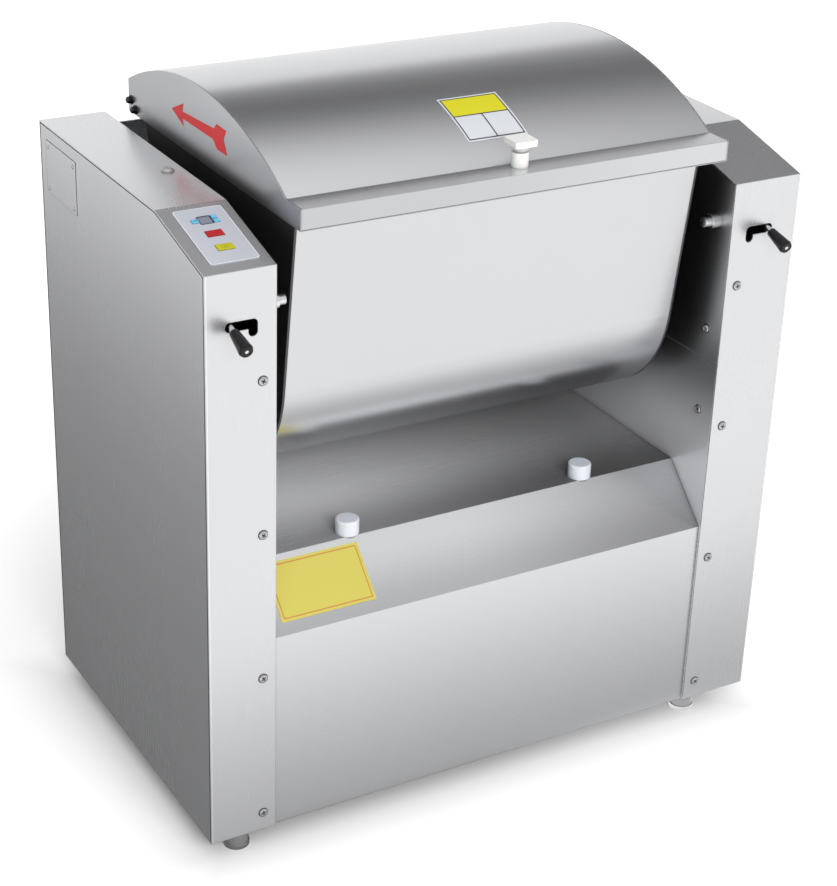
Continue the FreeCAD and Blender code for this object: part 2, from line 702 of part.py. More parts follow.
def build_base():
    """Front panel, sill and tray folded from one sheet, and the rear panel with its vents."""
    start = f"{LEFT_WALL} + seat_gap"
    width = f"({RIGHT_WALL} - {LEFT_WALL} - 2 * seat_gap)"
    rear_edge = f"({REAR} - rear_panel_sheet - seat_gap)"
    side_view = [
        (PANEL_FRONT, "cabinet_bottom"),
        (PANEL_FRONT, "panel_top"),
        (TRAY_BEND, "tray_height"),
        (rear_edge, "tray_height"),
        (rear_edge, "cabinet_bottom"),
    ]
    folded = plate(side_view, width, (start, "0", "0"))
    hollow(folded, "base_sheet_thickness", DOWN, BACKWARD, OUTWARD["left"], OUTWARD["right"])
    holes = [
        drill("screw_radius + screw_clearance", (x, rest_y(), "tray_height"), "z")
        for x in rest_places()
    ]
    keep("base_front_and_tray", cut(folded, *holes))
    rear = box(
        (width, "rear_panel_sheet", "cabinet_top - rear_panel_drop - cabinet_bottom"),
        (start, f"{REAR} - rear_panel_sheet", "cabinet_bottom"))
    tools = [drill("gland_bore_radius + gland_wall", (GLAND_X, REAR, "gland_z"), "y")]
    for row in range(LOUVRE_ROWS):
        for column in SIDES.values():
            middle = f"{BAY_CENTRE} + {column} * louvre_spread"
            tools.append(box(("louvre_length", DRILL_LENGTH, "louvre_height"), (
                f"{middle} - louvre_length / 2",
                f"{REAR} - {DRILL_LENGTH} / 2",
                f"louvre_low + {row} * louvre_pitch",
            )))
    keep("base_rear_panel", cut(rear, *tools))


def rest_places():
    return [f"{BAY_CENTRE} + {sign} * rest_spacing / 2" for sign in SIDES.values()]


def rest_y():
    return f"({TRAY_BEND} + rest_setback)"


def build_bowl_rests():
    """Nylon buffers that stop the tipped bowl, each held by a screw from under the tray."""
    screws = []
    for side, x in zip(SIDES, rest_places()):
        profile = [
            ("screw_radius + seat_gap", "0"),
            ("rest_radius", "0"),
            ("rest_radius", "rest_height - rest_edge_radius", "rest_edge_radius", 1),
            ("rest_radius - rest_edge_radius", "rest_height"),
            ("0", "rest_height"),
            ("0", "rest_bore_depth"),
            ("screw_radius + seat_gap", "rest_bore_depth"),
        ]
        keep(f"bowl_rest_{side}", turned(profile, (x, rest_y(), "tray_height")))
        seat = (x, rest_y(), "tray_height - base_sheet_thickness")
        reach = "base_sheet_thickness + rest_bore_depth - seat_gap"
        screws.append(pan_head_screw(seat, reach, Rotation(Vector(1, 0, 0), 180)))
    keep("bowl_rest_screws", group(*screws))


def bowl_outline():
    """Section of the trough: two leaning walls tangent to the rounded bottom."""
    front_tangent = ("-bowl_radius * cos(front_lean * 1deg)", "-bowl_radius * sin(front_lean * 1deg)")
    rear_tangent = ("bowl_radius * cos(rear_lean * 1deg)", "-bowl_radius * sin(rear_lean * 1deg)")
    return [
        (FRONT_RIM, RIM_RISE),
        front_tangent + ("bowl_radius", 1),
        rear_tangent,
        (REAR_RIM, RIM_RISE),
    ]


def build_bowl():
    """Trough, end plates and trunnions; all of it tips about the agitator axis."""
    corners = bowl_outline()
    trough_half = f"({BOWL_HALF} - end_plate_thickness)"
    start = f"{BAY_CENTRE} - {trough_half}"
    trough = plate(corners, f"2 * {trough_half}", (start, "axis_y", "axis_z"))
    hollow(trough, "bowl_sheet", UP, OUTWARD["left"], OUTWARD["right"])
    lip_z = "rim_height - bowl_sheet"
    lip_size = (f"2 * {trough_half}", "rim_lip", "bowl_sheet")
    front_lip = box(lip_size, (start, f"axis_y + {FRONT_RIM} - rim_lip + bowl_sheet * 0.75", lip_z))
    rear_lip = box(lip_size, (start, f"axis_y + {REAR_RIM} - bowl_sheet * 0.75", lip_z))
    keep("bowl_trough", join(trough, front_lip, rear_lip))
    for side, sign in SIDES.items():
        outer = f"({BAY_CENTRE} + {sign} * {BOWL_HALF})"
        low = outer if sign < 0 else f"{outer} - end_plate_thickness"
        blank = plate(corners, "end_plate_thickness", (low, "axis_y", "axis_z"))
        hole = drill("shaft_radius + fit_gap", (outer, "axis_y", "axis_z"))
        keep(f"bowl_end_{side}", cut(join(blank, trunnion(side, sign, outer)), hole))


def trunnion(side, sign, outer):
    """Flanged tube, welded to the end plate, that turns in the housing round the shaft."""
    turn = Rotation(Vector(0, 1, 0), 90 * sign)
    reach = f"({sign} * ({WALLS[side]} - {outer}) + frame_sheet + housing_depth)"
    profile = [
        ("shaft_radius + fit_gap", "0"),
        ("trunnion_flange_radius", "0"),
        ("trunnion_flange_radius", "trunnion_flange_thickness"),
        ("trunnion_radius + trunnion_weld", "trunnion_flange_thickness"),
        ("trunnion_radius", "trunnion_flange_thickness + trunnion_weld"),
        ("trunnion_radius", reach),
        ("shaft_radius + fit_gap", reach),
    ]
    return turned(profile, (outer, "axis_y", "axis_z"), turn)


def build_bearings():
    """Housings bolted to the side frames; each carries one trunnion."""
    for side, sign in SIDES.items():
        seat = f"({WALLS[side]} + {sign} * frame_sheet)"
        turn = Rotation(Vector(0, 1, 0), 90 * sign)
        profile = [
            ("trunnion_radius + fit_gap", "0"),
            ("housing_radius", "0"),
            ("housing_radius", "housing_flange"),
            ("housing_neck_radius", "housing_flange"),
            ("housing_neck_radius", "housing_depth"),
            ("trunnion_radius + fit_gap", "housing_depth"),
        ]
        keep(f"bearing_housing_{side}", turned(profile, (seat, "axis_y", "axis_z"), turn))


BLADES = 3


def agitator_angle(index, share):
    """Angle of a blade at a share of its length, in degrees."""
    return 360 / BLADES * index + number("blade_twist") * share


# Where the arms stand, as shares of a blade's length
ARM_SHARES = (0.045, 0.5, 0.955)


def build_agitator():
    """Shaft with helical blades carried by arms at both ends and in the middle."""
    shaft_start = f"({LEFT_WALL} - frame_sheet - housing_depth - gear_width - shaft_end_land)"
    shaft_end = f"({RIGHT_WALL} + frame_sheet + housing_depth + shaft_end_land)"
    keep("agitator_shaft", rod(
        "shaft_radius", f"{shaft_end} - {shaft_start}", (shaft_start, "axis_y", "axis_z")))
    half = f"({BOWL_HALF} - end_plate_thickness - blade_end_gap)"
    start = f"({BAY_CENTRE} - {half})"
    pieces = []
    for index in range(BLADES):
        pieces.append(build_blade(index, start, half))
        for share in ARM_SHARES:
            turn = Rotation(Vector(1, 0, 0), agitator_angle(index, share) + 180)
            at = (f"{start} + {share} * 2 * {half}", "axis_y", "axis_z")
            pieces.append(rod("arm_radius", "blade_radius - blade_height / 2", at, turn=turn))
    for share in ARM_SHARES:
        at = (f"{start} + {share} * 2 * {half} - hub_length / 2", "axis_y", "axis_z")
        pieces.append(rod("hub_radius", "hub_length", at))
    bore = rod(
        "shaft_radius + fit_gap", f"2 * ({half} + hub_length)",
        (f"{start} - hub_length", "axis_y", "axis_z"))
    keep("agitator_blades", cut(join(*pieces), bore))


def build_blade(index, start, half):
    """A bar whose section stays radial as it winds along the axis."""
    turn = Rotation(Vector(0, 1, 0), 90) * Rotation(Vector(0, 0, 1), agitator_angle(index, 0))
    at = (start, "axis_y", "axis_z")
    path = doc.addObject("Part::Helix", "Path")
    bind(path, Pitch=f"2 * {half} * 360 / blade_twist", Height=f"2 * {half}", Radius="blade_radius")
    place(path, at, turn)
    section = doc.addObject("Part::Plane", "Section")
    bind(section, Length="blade_height", Width="blade_thickness")
    corner = turn.multVec(Vector(
        number("blade_radius - blade_height"), -number("blade_thickness / 2"), 0))
    section.Placement = Placement(Vector(*[number(text) for text in at]) + corner, turn)
    blade = doc.addObject("Part::Sweep", "Blade")
    blade.Sections = [section]
    blade.Spine = (path, ["Edge1"])
    blade.Solid = True
    blade.Frenet = True
    return blade


def lid_outline():
    """Section of the lid: front skirt, flat strip, arc, and a short rear skirt."""
    return [
        (LID_FRONT, LID_BOTTOM),
        (LID_FRONT, LID_STRIP),
        (f"{LID_FRONT} + lid_flange_depth", LID_STRIP, "lid_arc_radius", -1),
        (LID_REAR, f"{LID_STRIP} + lid_rise"),
    ]


def build_lid():
    """Arched lid with its end plates, knob and hinge leaves."""
    arched = lid_outline()
    body_half = f"({LID_HALF} - lid_sheet)"
    rear_edge = "(rim_height + lid_rear_gap)"
    shell = plate(
        arched + [(LID_REAR, rear_edge)],
        f"2 * {body_half}", (f"{BAY_CENTRE} - {body_half}", "0", "0"))
    slanted = Vector(0, number(f"{rear_edge} - {LID_BOTTOM}"), -number(f"{LID_REAR} - {LID_FRONT}"))
    hollow(shell, "lid_sheet", slanted.normalize(), OUTWARD["left"], OUTWARD["right"])
    keep("lid_shell", shell)
    for side, sign in SIDES.items():
        outer = f"({BAY_CENTRE} + {sign} * {LID_HALF})"
        low = outer if sign < 0 else f"{outer} - lid_sheet"
        keep(f"lid_end_{side}", plate(
            arched + [(LID_REAR, LID_BOTTOM)], "lid_sheet", (low, "0", "0")))
    build_knob()
    build_hinges()


def build_knob():
    """White knob on the machine's middle line: a round stem, a flare and a square head."""
    y = f"({LID_FRONT} + knob_setback)"
    neck = f"({LID_STRIP} + knob_stem_height)"
    stem = rod("knob_stem_radius", "knob_stem_height", ("0", y, LID_STRIP), "z")
    flared = cone(
        "knob_neck_radius", "knob_head_width / 2", "knob_flare_height", ("0", y, neck), Rotation())
    head = box(
        ("knob_head_width", "knob_head_width", "knob_head_height"),
        ("-knob_head_width / 2", f"{y} - knob_head_width / 2", f"{neck} + knob_flare_height"),
    )
    square = soften(
        head, "knob_corner_radius", lambda edge: abs(edge.tangentAt(edge.FirstParameter).z) > 0.9)
    keep("lid_knob", join(stem, flared, square))


def build_hinges():
    """Two three-knuckle hinges behind the lid, each with its pin."""
    leaves = []
    brackets = []
    pins = []
    for sign in SIDES.values():
        middle = f"({BAY_CENTRE} + {sign} * hinge_spacing / 2)"
        inner = f"({middle} - hinge_segment / 2)"
        knuckle = rod("hinge_radius", "hinge_segment", (inner, HINGE_Y, HINGE_Z))
        leaf = box(
            ("hinge_segment", "hinge_setback", "hinge_leaf"), (inner, LID_REAR, HINGE_Z))
        back = box(
            ("hinge_segment", "hinge_leaf / 2", "hinge_back"), (inner, LID_REAR, HINGE_Z))
        bore = rod(
            "hinge_pin_radius + fit_gap", "hinge_segment + 10", (f"{inner} - 5", HINGE_Y, HINGE_Z))
        leaves.append(cut(join(knuckle, leaf, back), bore))
        brackets.append(hinge_bracket(inner))
        pins.append(rod(
            "hinge_pin_radius", "hinge_segment * 3 + 2 * seat_gap",
            (f"{inner} - hinge_segment - seat_gap", HINGE_Y, HINGE_Z)))
    keep("lid_hinge_leaves", group(*leaves))
    keep("bowl_hinge_brackets", group(*brackets))
    keep("hinge_pins", group(*pins))


def hinge_bracket(inner):
    """Two outer knuckles on a bracket below the rear lip of the bowl."""
    under_lip = "(rim_height - bowl_sheet - hinge_bracket_sheet)"
    foot_y = f"(axis_y + {REAR_RIM} + bowl_sheet / 2)"
    span = "hinge_segment * 3 + 2 * seat_gap"
    pieces = [box(
        (span, f"{HINGE_Y} + hinge_radius - {foot_y}", "hinge_bracket_sheet"),
        (f"{inner} - hinge_segment - seat_gap", foot_y, under_lip),
    )]
    for low in (f"{inner} - hinge_segment - seat_gap", f"{inner} + hinge_segment + seat_gap"):
        pieces.append(rod("hinge_radius", "hinge_segment", (low, HINGE_Y, HINGE_Z)))
        pieces.append(box(
            ("hinge_segment", "hinge_radius * 1.4", f"{HINGE_Z} - {under_lip}"),
            (low, f"{HINGE_Y} - hinge_radius * 0.4", under_lip),
        ))
    bore = rod(
        "hinge_pin_radius + fit_gap", "hinge_segment * 3 + 10",
        (f"{inner} - hinge_segment - 5", HINGE_Y, HINGE_Z))
    return cut(join(*pieces), bore)


def build_latches():
    """Sliding pins that lock the bowl upright, each with a collar, a lever and a grip."""
    for side, sign in SIDES.items():
        wall = WALLS[side]
        inward = Rotation(Vector(0, 1, 0), -90 * sign)
        collar_profile = [
            ("latch_pin_radius + fit_gap", "0"),
            ("collar_radius", "0"),
            ("collar_radius", "collar_depth + collar_reach"),
            ("latch_pin_radius + fit_gap", "collar_depth + collar_reach"),
        ]
        at = (f"{wall} + {sign} * collar_depth", "latch_y", "latch_z")
        keep(f"latch_collar_{side}", turned(collar_profile, at, inward))
        tail = "(lever_offset + lever_radius + latch_tail)"
        pin_profile = [
            ("0", "0"),
            ("latch_pin_radius", "0"),
            ("latch_pin_radius", f"{tail} + latch_tip"),
            ("0", f"{tail} + latch_tip"),
        ]
        pin = turned(pin_profile, (f"{wall} + {sign} * {tail}", "latch_y", "latch_z"), inward)
        lean = Rotation(Vector(1, 0, 0), 90 + number("lever_slope"))
        lever_x = f"({wall} + {sign} * lever_offset)"
        socket = rod(
            "lever_radius + fit_gap", DRILL_LENGTH, (lever_x, "latch_y", "latch_z"), turn=lean)
        keep(f"latch_pin_{side}", cut(pin, socket))
        keep(f"latch_lever_{side}", rod(
            "lever_radius", "lever_length + grip_socket",
            (lever_x, "latch_y", "latch_z"), turn=lean))
        keep(f"latch_grip_{side}", build_grip(lever_x, lean))


def build_grip(lever_x, lean):
    """Tapered grip with a flat far end, bored for the lever rod."""
    hole = "(lever_radius + fit_gap)"
    floor = "(grip_socket + seat_gap)"
    profile = [
        (hole, "0"),
        ("grip_neck_radius", "0"),
        ("grip_end_radius", "grip_shoulder"),
        ("grip_face_radius", "grip_length"),
        ("0", "grip_length"),
        ("0", floor),
        (hole, floor),
    ]
    down = "sin(lever_slope * 1deg)"
    out = "cos(lever_slope * 1deg)"
    at = (lever_x, f"latch_y - lever_length * {out}", f"latch_z - lever_length * {down}")
    return turned(profile, at, lean)


def build_controls():
    """Overlay on the facet, a display window and five short-travel keys."""
    at, tilt = on_facet("overlay_start", "0", f"{OVERLAY_MIDDLE} - overlay_width / 2")
    sheet_blank = box(("overlay_width", "overlay_length", "overlay_thickness"), at, tilt)
    rounded = soften(
        sheet_blank, "overlay_corner_radius",
        lambda edge: abs(edge.Length - number("overlay_thickness")) < 0.01)
    windows = []
    for name, across, along, width, length in KEYS + [("display_window",) + DISPLAY]:
        window_size = (f"{width} + 2 * key_gap", f"{length} + 2 * key_gap")
        windows.append(facet_block(
            across, along, *window_size, "-overlay_thickness", "3 * overlay_thickness"))
    keep("control_overlay", cut(rounded, *windows))
    keep("display_window", facet_block(*DISPLAY, "0", "overlay_thickness - fit_gap"))
    for name, across, along, width, length in KEYS:
        cap = facet_block(across, along, width, length, "key_travel + key_lift", "overlay_thickness")
        stem_at, tilt = on_facet(
            f"(overlay_start + {along})", "(key_travel + key_lift - key_stem_length)",
            f"{OVERLAY_MIDDLE} + ({across})")
        stem = rod("key_stem_radius", "key_stem_length + overlay_thickness / 2", stem_at, turn=tilt)
        keep(name, join(cap, stem))
    build_control_board()


def facet_block(across, along, width, length, above, height):
    """A rectangular block on the facet, centred across and along the overlay."""
    at, tilt = on_facet(
        f"(overlay_start + {along} - ({length}) / 2)", f"({above})",
        f"{OVERLAY_MIDDLE} + ({across}) - ({width}) / 2")
    return box((width, length, height), at, tilt)


def build_control_board():
    """Circuit board below the facet, on four spacers."""
    underside = "(cover_sheet + board_depth)"
    board = facet_block(
        "-board_shift", "overlay_length / 2", "board_width", "board_length",
        f"-{underside}", "board_thickness")
    spacers = []
    for across in SIDES.values():
        for along in SIDES.values():
            spacer_at, tilt = on_facet(
                f"(overlay_start + overlay_length / 2 + {along} * (board_length / 2 - spacer_inset))",
                "-(cover_sheet + board_depth - board_thickness)",
                f"{OVERLAY_MIDDLE} - board_shift + {across} * (board_width / 2 - spacer_inset)")
            spacers.append(rod(
                "spacer_radius", "board_depth - board_thickness", spacer_at, turn=tilt))
    keep("control_board", join(board, *spacers))


def build_trim():
    """Blank plate, blind plug and the screws that hold the covers."""
    left_face = "(-overall_width / 2)"
    blank = box(
        ("plate_thickness", "plate_length", "plate_height"),
        (f"{left_face} - plate_thickness", "cabinet_front + plate_setback", "plate_bottom"))
    keep("blank_plate", blank)
    plug_profile = [
        ("0", "-cover_sheet"),
        ("plug_stem_radius", "-cover_sheet"),
        ("plug_stem_radius", "0"),
        ("plug_radius", "0"),
        ("plug_radius", "plug_edge"),
        ("plug_crown_radius", "plug_height"),
        ("0", "plug_height"),
    ]
    keep("blind_plug", turned(plug_profile, plug_place()))
    forward = Rotation(Vector(1, 0, 0), 90)
    keep("cover_screws", group(*[
        pan_head_screw((x, "cabinet_front", z), "screw_length", forward)
        for side in SIDES for x, z in front_screw_places(side)
    ]))
    leftward = Rotation(Vector(0, 1, 0), -90)
    keep("right_wall_screws", group(*[
        pan_head_screw((RIGHT_WALL, y, z), "wall_screw_length", leftward)
        for y, z in wall_screw_places()
    ]))


def pan_head_screw(at, length, turn):
    """A screw whose head stands on a face and whose shank goes down through it."""
    profile = [
        ("0", f"-({length})"),
        ("screw_radius", f"-({length})"),
        ("screw_radius", "0"),
        ("screw_head_radius", "0"),
        ("screw_head_radius", "screw_head_height"),
        ("0", "screw_head_height"),
    ]
    return turned(profile, at, turn)


def gear_wire(teeth, phase):
    """Outline of an involute spur gear, each flank one arc through three of its points."""
    module = number("gear_module")
    pitch_radius = module * teeth / 2
    pressure = math.radians(20)
    base_radius = pitch_radius * math.cos(pressure)
    tip_radius = pitch_radius + module
    root_radius = pitch_radius - 1.25 * module
    flank_start = max(base_radius, root_radius)
    half_tooth = math.pi / (2 * teeth) - number("gear_backlash") / (2 * pitch_radius)

    def involute(radius):
        turn = math.acos(min(base_radius / radius, 1))
        return math.tan(turn) - turn

    def spot(radius, angle):
        return Vector(0, radius * math.cos(angle), radius * math.sin(angle))

    def flank(radius, centre, way):
        angle = half_tooth + involute(pitch_radius) - involute(radius)
        return spot(radius, centre + way * angle)

    middle_radius = (flank_start + tip_radius) / 2
    edges = []
    step = 2 * math.pi / teeth
    for tooth in range(teeth):
        centre = math.radians(phase) + tooth * step
        rising = [flank(radius, centre, -1) for radius in (flank_start, middle_radius, tip_radius)]
        falling = [flank(radius, centre, 1) for radius in (tip_radius, middle_radius, flank_start)]
        next_start = flank(flank_start, centre + step, -1)
        root_angle = half_tooth + involute(pitch_radius) - involute(flank_start)
        if flank_start > root_radius:
            edges.append(Part.makeLine(spot(root_radius, centre - root_angle), rising[0]))
        edges.append(Part.Arc(*rising).toShape())
        edges.append(Part.makeLine(rising[2], falling[0]))
        edges.append(Part.Arc(*falling).toShape())
        root_from = falling[2]
        root_to = next_start
        if flank_start > root_radius:
            root_from = spot(root_radius, centre + root_angle)
            root_to = spot(root_radius, centre + step - root_angle)
            edges.append(Part.makeLine(falling[2], root_from))
        edges.append(Part.makeLine(root_from, root_to))
    return Part.Wire(edges)


def gear_blank(teeth, phase, width, at):
    """A toothed disc as a feature of its own, grown towards +X."""
    item = doc.addObject("Part::Feature", "Toothed_disc")
    item.Shape = Part.Face(gear_wire(teeth, phase)).extrude(Vector(number(width), 0, 0))
    item.Placement = Placement(Vector(*[number(text) for text in at]), Rotation())
    return item


GEAR_HOLES = 6
PULLEY_HOLES = 5


def build_gears():
    """Bull gear on the agitator shaft, driven by the pinion on the countershaft."""
    gear_x = f"({LEFT_WALL} - frame_sheet - housing_depth - gear_gap - gear_width)"
    line = 90 - number("gear_line_angle")
    bull_teeth = round(number("bull_teeth"))
    pinion_teeth = round(number("pinion_teeth"))
    disc = gear_blank(bull_teeth, -line, "gear_width", (gear_x, "axis_y", "axis_z"))
    hub = rod("gear_hub_radius", "gear_width + gear_hub_land", (gear_x, "axis_y", "axis_z"))
    ring = "(gear_module * bull_teeth / 2 - gear_rim)"
    web = f"({gear_x} + gear_width - gear_recess)"
    recess = cut(
        rod(ring, "gear_width", (web, "axis_y", "axis_z")),
        rod("gear_hub_radius", "gear_width", (web, "axis_y", "axis_z")),
    )
    far = f"({gear_x} - gear_width)"
    tools = [recess, rod("shaft_radius + fit_gap", "3 * gear_width", (far, "axis_y", "axis_z"))]
    for index in range(GEAR_HOLES):
        angle = f"({360 / GEAR_HOLES * index}deg)"
        tools.append(rod("gear_hole_radius", "3 * gear_width", (
            far,
            f"axis_y + ({ring} + gear_hub_radius) / 2 * sin{angle}",
            f"axis_z + ({ring} + gear_hub_radius) / 2 * cos{angle}",
        )))
    keep("bull_gear", cut(join(disc, hub), *tools))
    pinion_phase = 180 - line + 180 / pinion_teeth
    toothed = gear_blank(
        pinion_teeth, pinion_phase, "gear_width + gear_hub_land", (gear_x, COUNTER_Y, COUNTER_Z))
    shaft_start = f"({gear_x} - pulley_gap - pulley_width)"
    shaft_length = f"({LEFT_WALL} - frame_sheet - seat_gap - {shaft_start})"
    shaft = rod("countershaft_radius", shaft_length, (shaft_start, COUNTER_Y, COUNTER_Z))
    keep("pinion_shaft", join(toothed, shaft))
    build_pulleys(f"({gear_x} - pulley_gap - pulley_width)")


def pulley_profile(radius, bore):
    """Section of a V pulley, as (radius, height) round the bore."""
    return [
        (bore, "0"),
        (radius, "0"),
        (radius, "pulley_lip"),
        (f"{radius} - belt_height", "(pulley_width - groove_bottom) / 2"),
        (f"{radius} - belt_height", "(pulley_width + groove_bottom) / 2"),
        (radius, "pulley_width - pulley_lip"),
        (radius, "pulley_width"),
        (bore, "pulley_width"),
    ]


def build_pulleys(pulley_x):
    """V pulleys of the countershaft and the motor, with the belt between them."""
    turn = Rotation(Vector(0, 1, 0), 90)
    large = turned(
        pulley_profile("large_pulley_radius", "countershaft_radius + fit_gap"),
        (pulley_x, COUNTER_Y, COUNTER_Z), turn)
    holes = []
    for index in range(PULLEY_HOLES):
        angle = f"({360 / PULLEY_HOLES * index}deg)"
        holes.append(rod("pulley_hole_radius", "3 * pulley_width", (
            f"{pulley_x} - pulley_width",
            f"{COUNTER_Y} + pulley_hole_circle * sin{angle}",
            f"{COUNTER_Z} + pulley_hole_circle * cos{angle}",
        )))
    keep("countershaft_pulley", cut(large, *holes))
    keep("motor_pulley", turned(
        pulley_profile("motor_pulley_radius", "motor_shaft_radius + fit_gap"),
        (pulley_x, "motor_y", "motor_z"), turn))
    keep("motor_shaft", rod(
        "motor_shaft_radius", f"{LEFT_WALL} + motor_shaft_depth - {pulley_x}",
        (pulley_x, "motor_y", "motor_z")))
    build_belt(pulley_x)


def build_belt(pulley_x):
    """Belt as a flat band round both pulleys, in their grooves."""
    x = number(f"{pulley_x} + (pulley_width - belt_width) / 2")
    upper = Vector(0, number(COUNTER_Y), number(COUNTER_Z))
    lower = Vector(0, number("motor_y"), number("motor_z"))
    inner = number("seat_gap - belt_height")
    outer = inner + number("belt_height")
    large = number("large_pulley_radius")
    small = number("motor_pulley_radius")
    band = Part.Face(belt_loop(upper, large + outer, lower, small + outer))
    hole = Part.Face(belt_loop(upper, large + inner, lower, small + inner))
    item = doc.addObject("Part::Feature", "Belt")
    item.Shape = band.cut(hole).extrude(Vector(number("belt_width"), 0, 0))
    item.Placement = Placement(Vector(x, 0, 0), Rotation())
    keep("drive_belt", item)


def belt_loop(upper, upper_radius, lower, lower_radius):
    """Closed wire of two arcs and the two outer tangents of the circles."""
    away = upper - lower
    lean = math.asin((upper_radius - lower_radius) / away.Length)
    heading = math.atan2(away.z, away.y)

    def spot(centre, radius, angle):
        return centre + Vector(0, radius * math.cos(angle), radius * math.sin(angle))

    left = heading + math.pi / 2 + lean
    right = heading - math.pi / 2 - lean
    upper_ends = (spot(upper, upper_radius, right), spot(upper, upper_radius, left))
    lower_ends = (spot(lower, lower_radius, left), spot(lower, lower_radius, right))
    return Part.Wire([
        Part.Arc(upper_ends[0], spot(upper, upper_radius, heading), upper_ends[1]).toShape(),
        Part.makeLine(upper_ends[1], lower_ends[0]),
        Part.Arc(lower_ends[0], spot(lower, lower_radius, heading + math.pi), lower_ends[1]).toShape(),
        Part.makeLine(lower_ends[1], upper_ends[0]),
    ])


def build_drive():
    """Countershaft bearing, motor and the shelf that carries the motor."""
    seat = f"({LEFT_WALL} - frame_sheet)"
    turn = Rotation(Vector(0, 1, 0), -90)
    profile = [
        ("countershaft_radius + fit_gap", "0"),
        ("countershaft_housing_radius", "0"),
        ("countershaft_housing_radius", "housing_flange"),
        ("countershaft_neck_radius", "housing_flange"),
        ("countershaft_neck_radius", "housing_depth"),
        ("countershaft_radius + fit_gap", "housing_depth"),
    ]
    keep("countershaft_bearing", turned(profile, (seat, COUNTER_Y, COUNTER_Z), turn))
    build_motor()


def build_motor():
    """Foot-mounted motor lying across the base, on a shelf fixed to the left side frame."""
    start = f"({LEFT_WALL} + motor_inset)"
    frame = rod("motor_radius", "motor_length", (start, "motor_y", "motor_z"))
    nose = rod(
        "motor_nose_radius", "motor_nose_length",
        (f"{start} - motor_nose_length", "motor_y", "motor_z"))
    cowl = rod(
        "motor_radius + cowl_rim", "cowl_length", (f"{start} + motor_length", "motor_y", "motor_z"))
    terminal_box = box(
        ("terminal_box_length", "terminal_box_width", "terminal_box_rise + terminal_box_sink"),
        (
            f"{start} + (motor_length - terminal_box_length) / 2",
            "motor_y - terminal_box_width / 2",
            "motor_z + motor_radius - terminal_box_sink",
        ))
    feet = []
    shelf_top = "(motor_z - motor_radius - motor_foot_drop)"
    for offset in ("motor_foot_inset", "motor_length - motor_foot_inset - motor_foot_length"):
        feet.append(box(
            ("motor_foot_length", "motor_radius * 2", "motor_foot_height"),
            (f"{start} + {offset}", "motor_y - motor_radius", shelf_top)))
    bore = rod(
        "motor_shaft_radius + fit_gap", "motor_shaft_depth + 2 * seat_gap",
        (f"{start} - motor_nose_length - seat_gap", "motor_y", "motor_z"))
    keep("motor", cut(join(frame, nose, cowl, terminal_box, *feet), bore))
    shelf_y = "(motor_y - motor_radius - shelf_margin)"
    shelf_width = "(2 * motor_radius + 2 * shelf_margin)"
    upright = box(
        ("shelf_sheet", shelf_width, "shelf_flange"),
        (LEFT_WALL, shelf_y, f"{shelf_top} - shelf_flange / 2"))
    deck = box(
        ("shelf_length", shelf_width, "shelf_sheet"), (LEFT_WALL, shelf_y, f"{shelf_top} - shelf_sheet"))
    clearance = drill("motor_nose_radius + nose_hole_gap", (LEFT_WALL, "motor_y", "motor_z"))
    keep("motor_shelf", cut(join(upright, deck), clearance))


def build_electrics():
    """Switchgear box in the right cabinet and the mains cable gland."""
    wall = f"({RIGHT_WALL} + frame_sheet)"
    case = box(("box_depth", "box_width", "box_height"), (wall, "cabinet_front + box_setback", "box_bottom"))
    keep("electrical_box", soften(
        case, "box_corner_radius", lambda edge: abs(edge.tangentAt(edge.FirstParameter).x) > 0.9))
    profile = [
        ("gland_bore_radius", "-gland_inside"),
        ("gland_bore_radius + gland_wall - seat_gap", "-gland_inside"),
        ("gland_bore_radius + gland_wall - seat_gap", "0"),
        ("gland_bore_radius + gland_nut", "0"),
        ("gland_bore_radius + gland_nut", "gland_nut_width"),
        ("gland_bore_radius + gland_wall", "gland_nut_width"),
        ("gland_bore_radius + gland_wall", "gland_reach"),
        ("gland_bore_radius", "gland_reach"),
    ]
    at = (GLAND_X, REAR, "gland_z")
    keep("cable_gland", turned(profile, at, Rotation(Vector(1, 0, 0), -90)))


def write_parts():
    """Check every object, then write one file for each sub-part."""
    doc.recompute()
    for item in doc.Objects:
        if {"Invalid", "Error"} & set(item.State):
            raise RuntimeError(f"{item.Name} failed: {item.State}")
    for item in parts:
        if item.Shape.isNull() or not item.Shape.isValid():
            raise RuntimeError(f"{item.Label} has no valid shape")
    os.makedirs("parts", exist_ok=True)
    for item in parts:
        item.Shape.exportStep(f"parts/{item.Label}.step")


build_chassis()
build_feet()
build_side_frames()
build_covers()
build_base()
build_bowl_rests()
build_bowl()
build_bearings()
build_agitator()
build_lid()
build_latches()
build_controls()
build_trim()
build_gears()
build_drive()
build_electrics()
write_parts()
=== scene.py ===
"""Horizontal dough mixer with a tipping bowl: finishes, fittings, studio and camera."""

import math

import bpy
from mathutils import Matrix, Vector


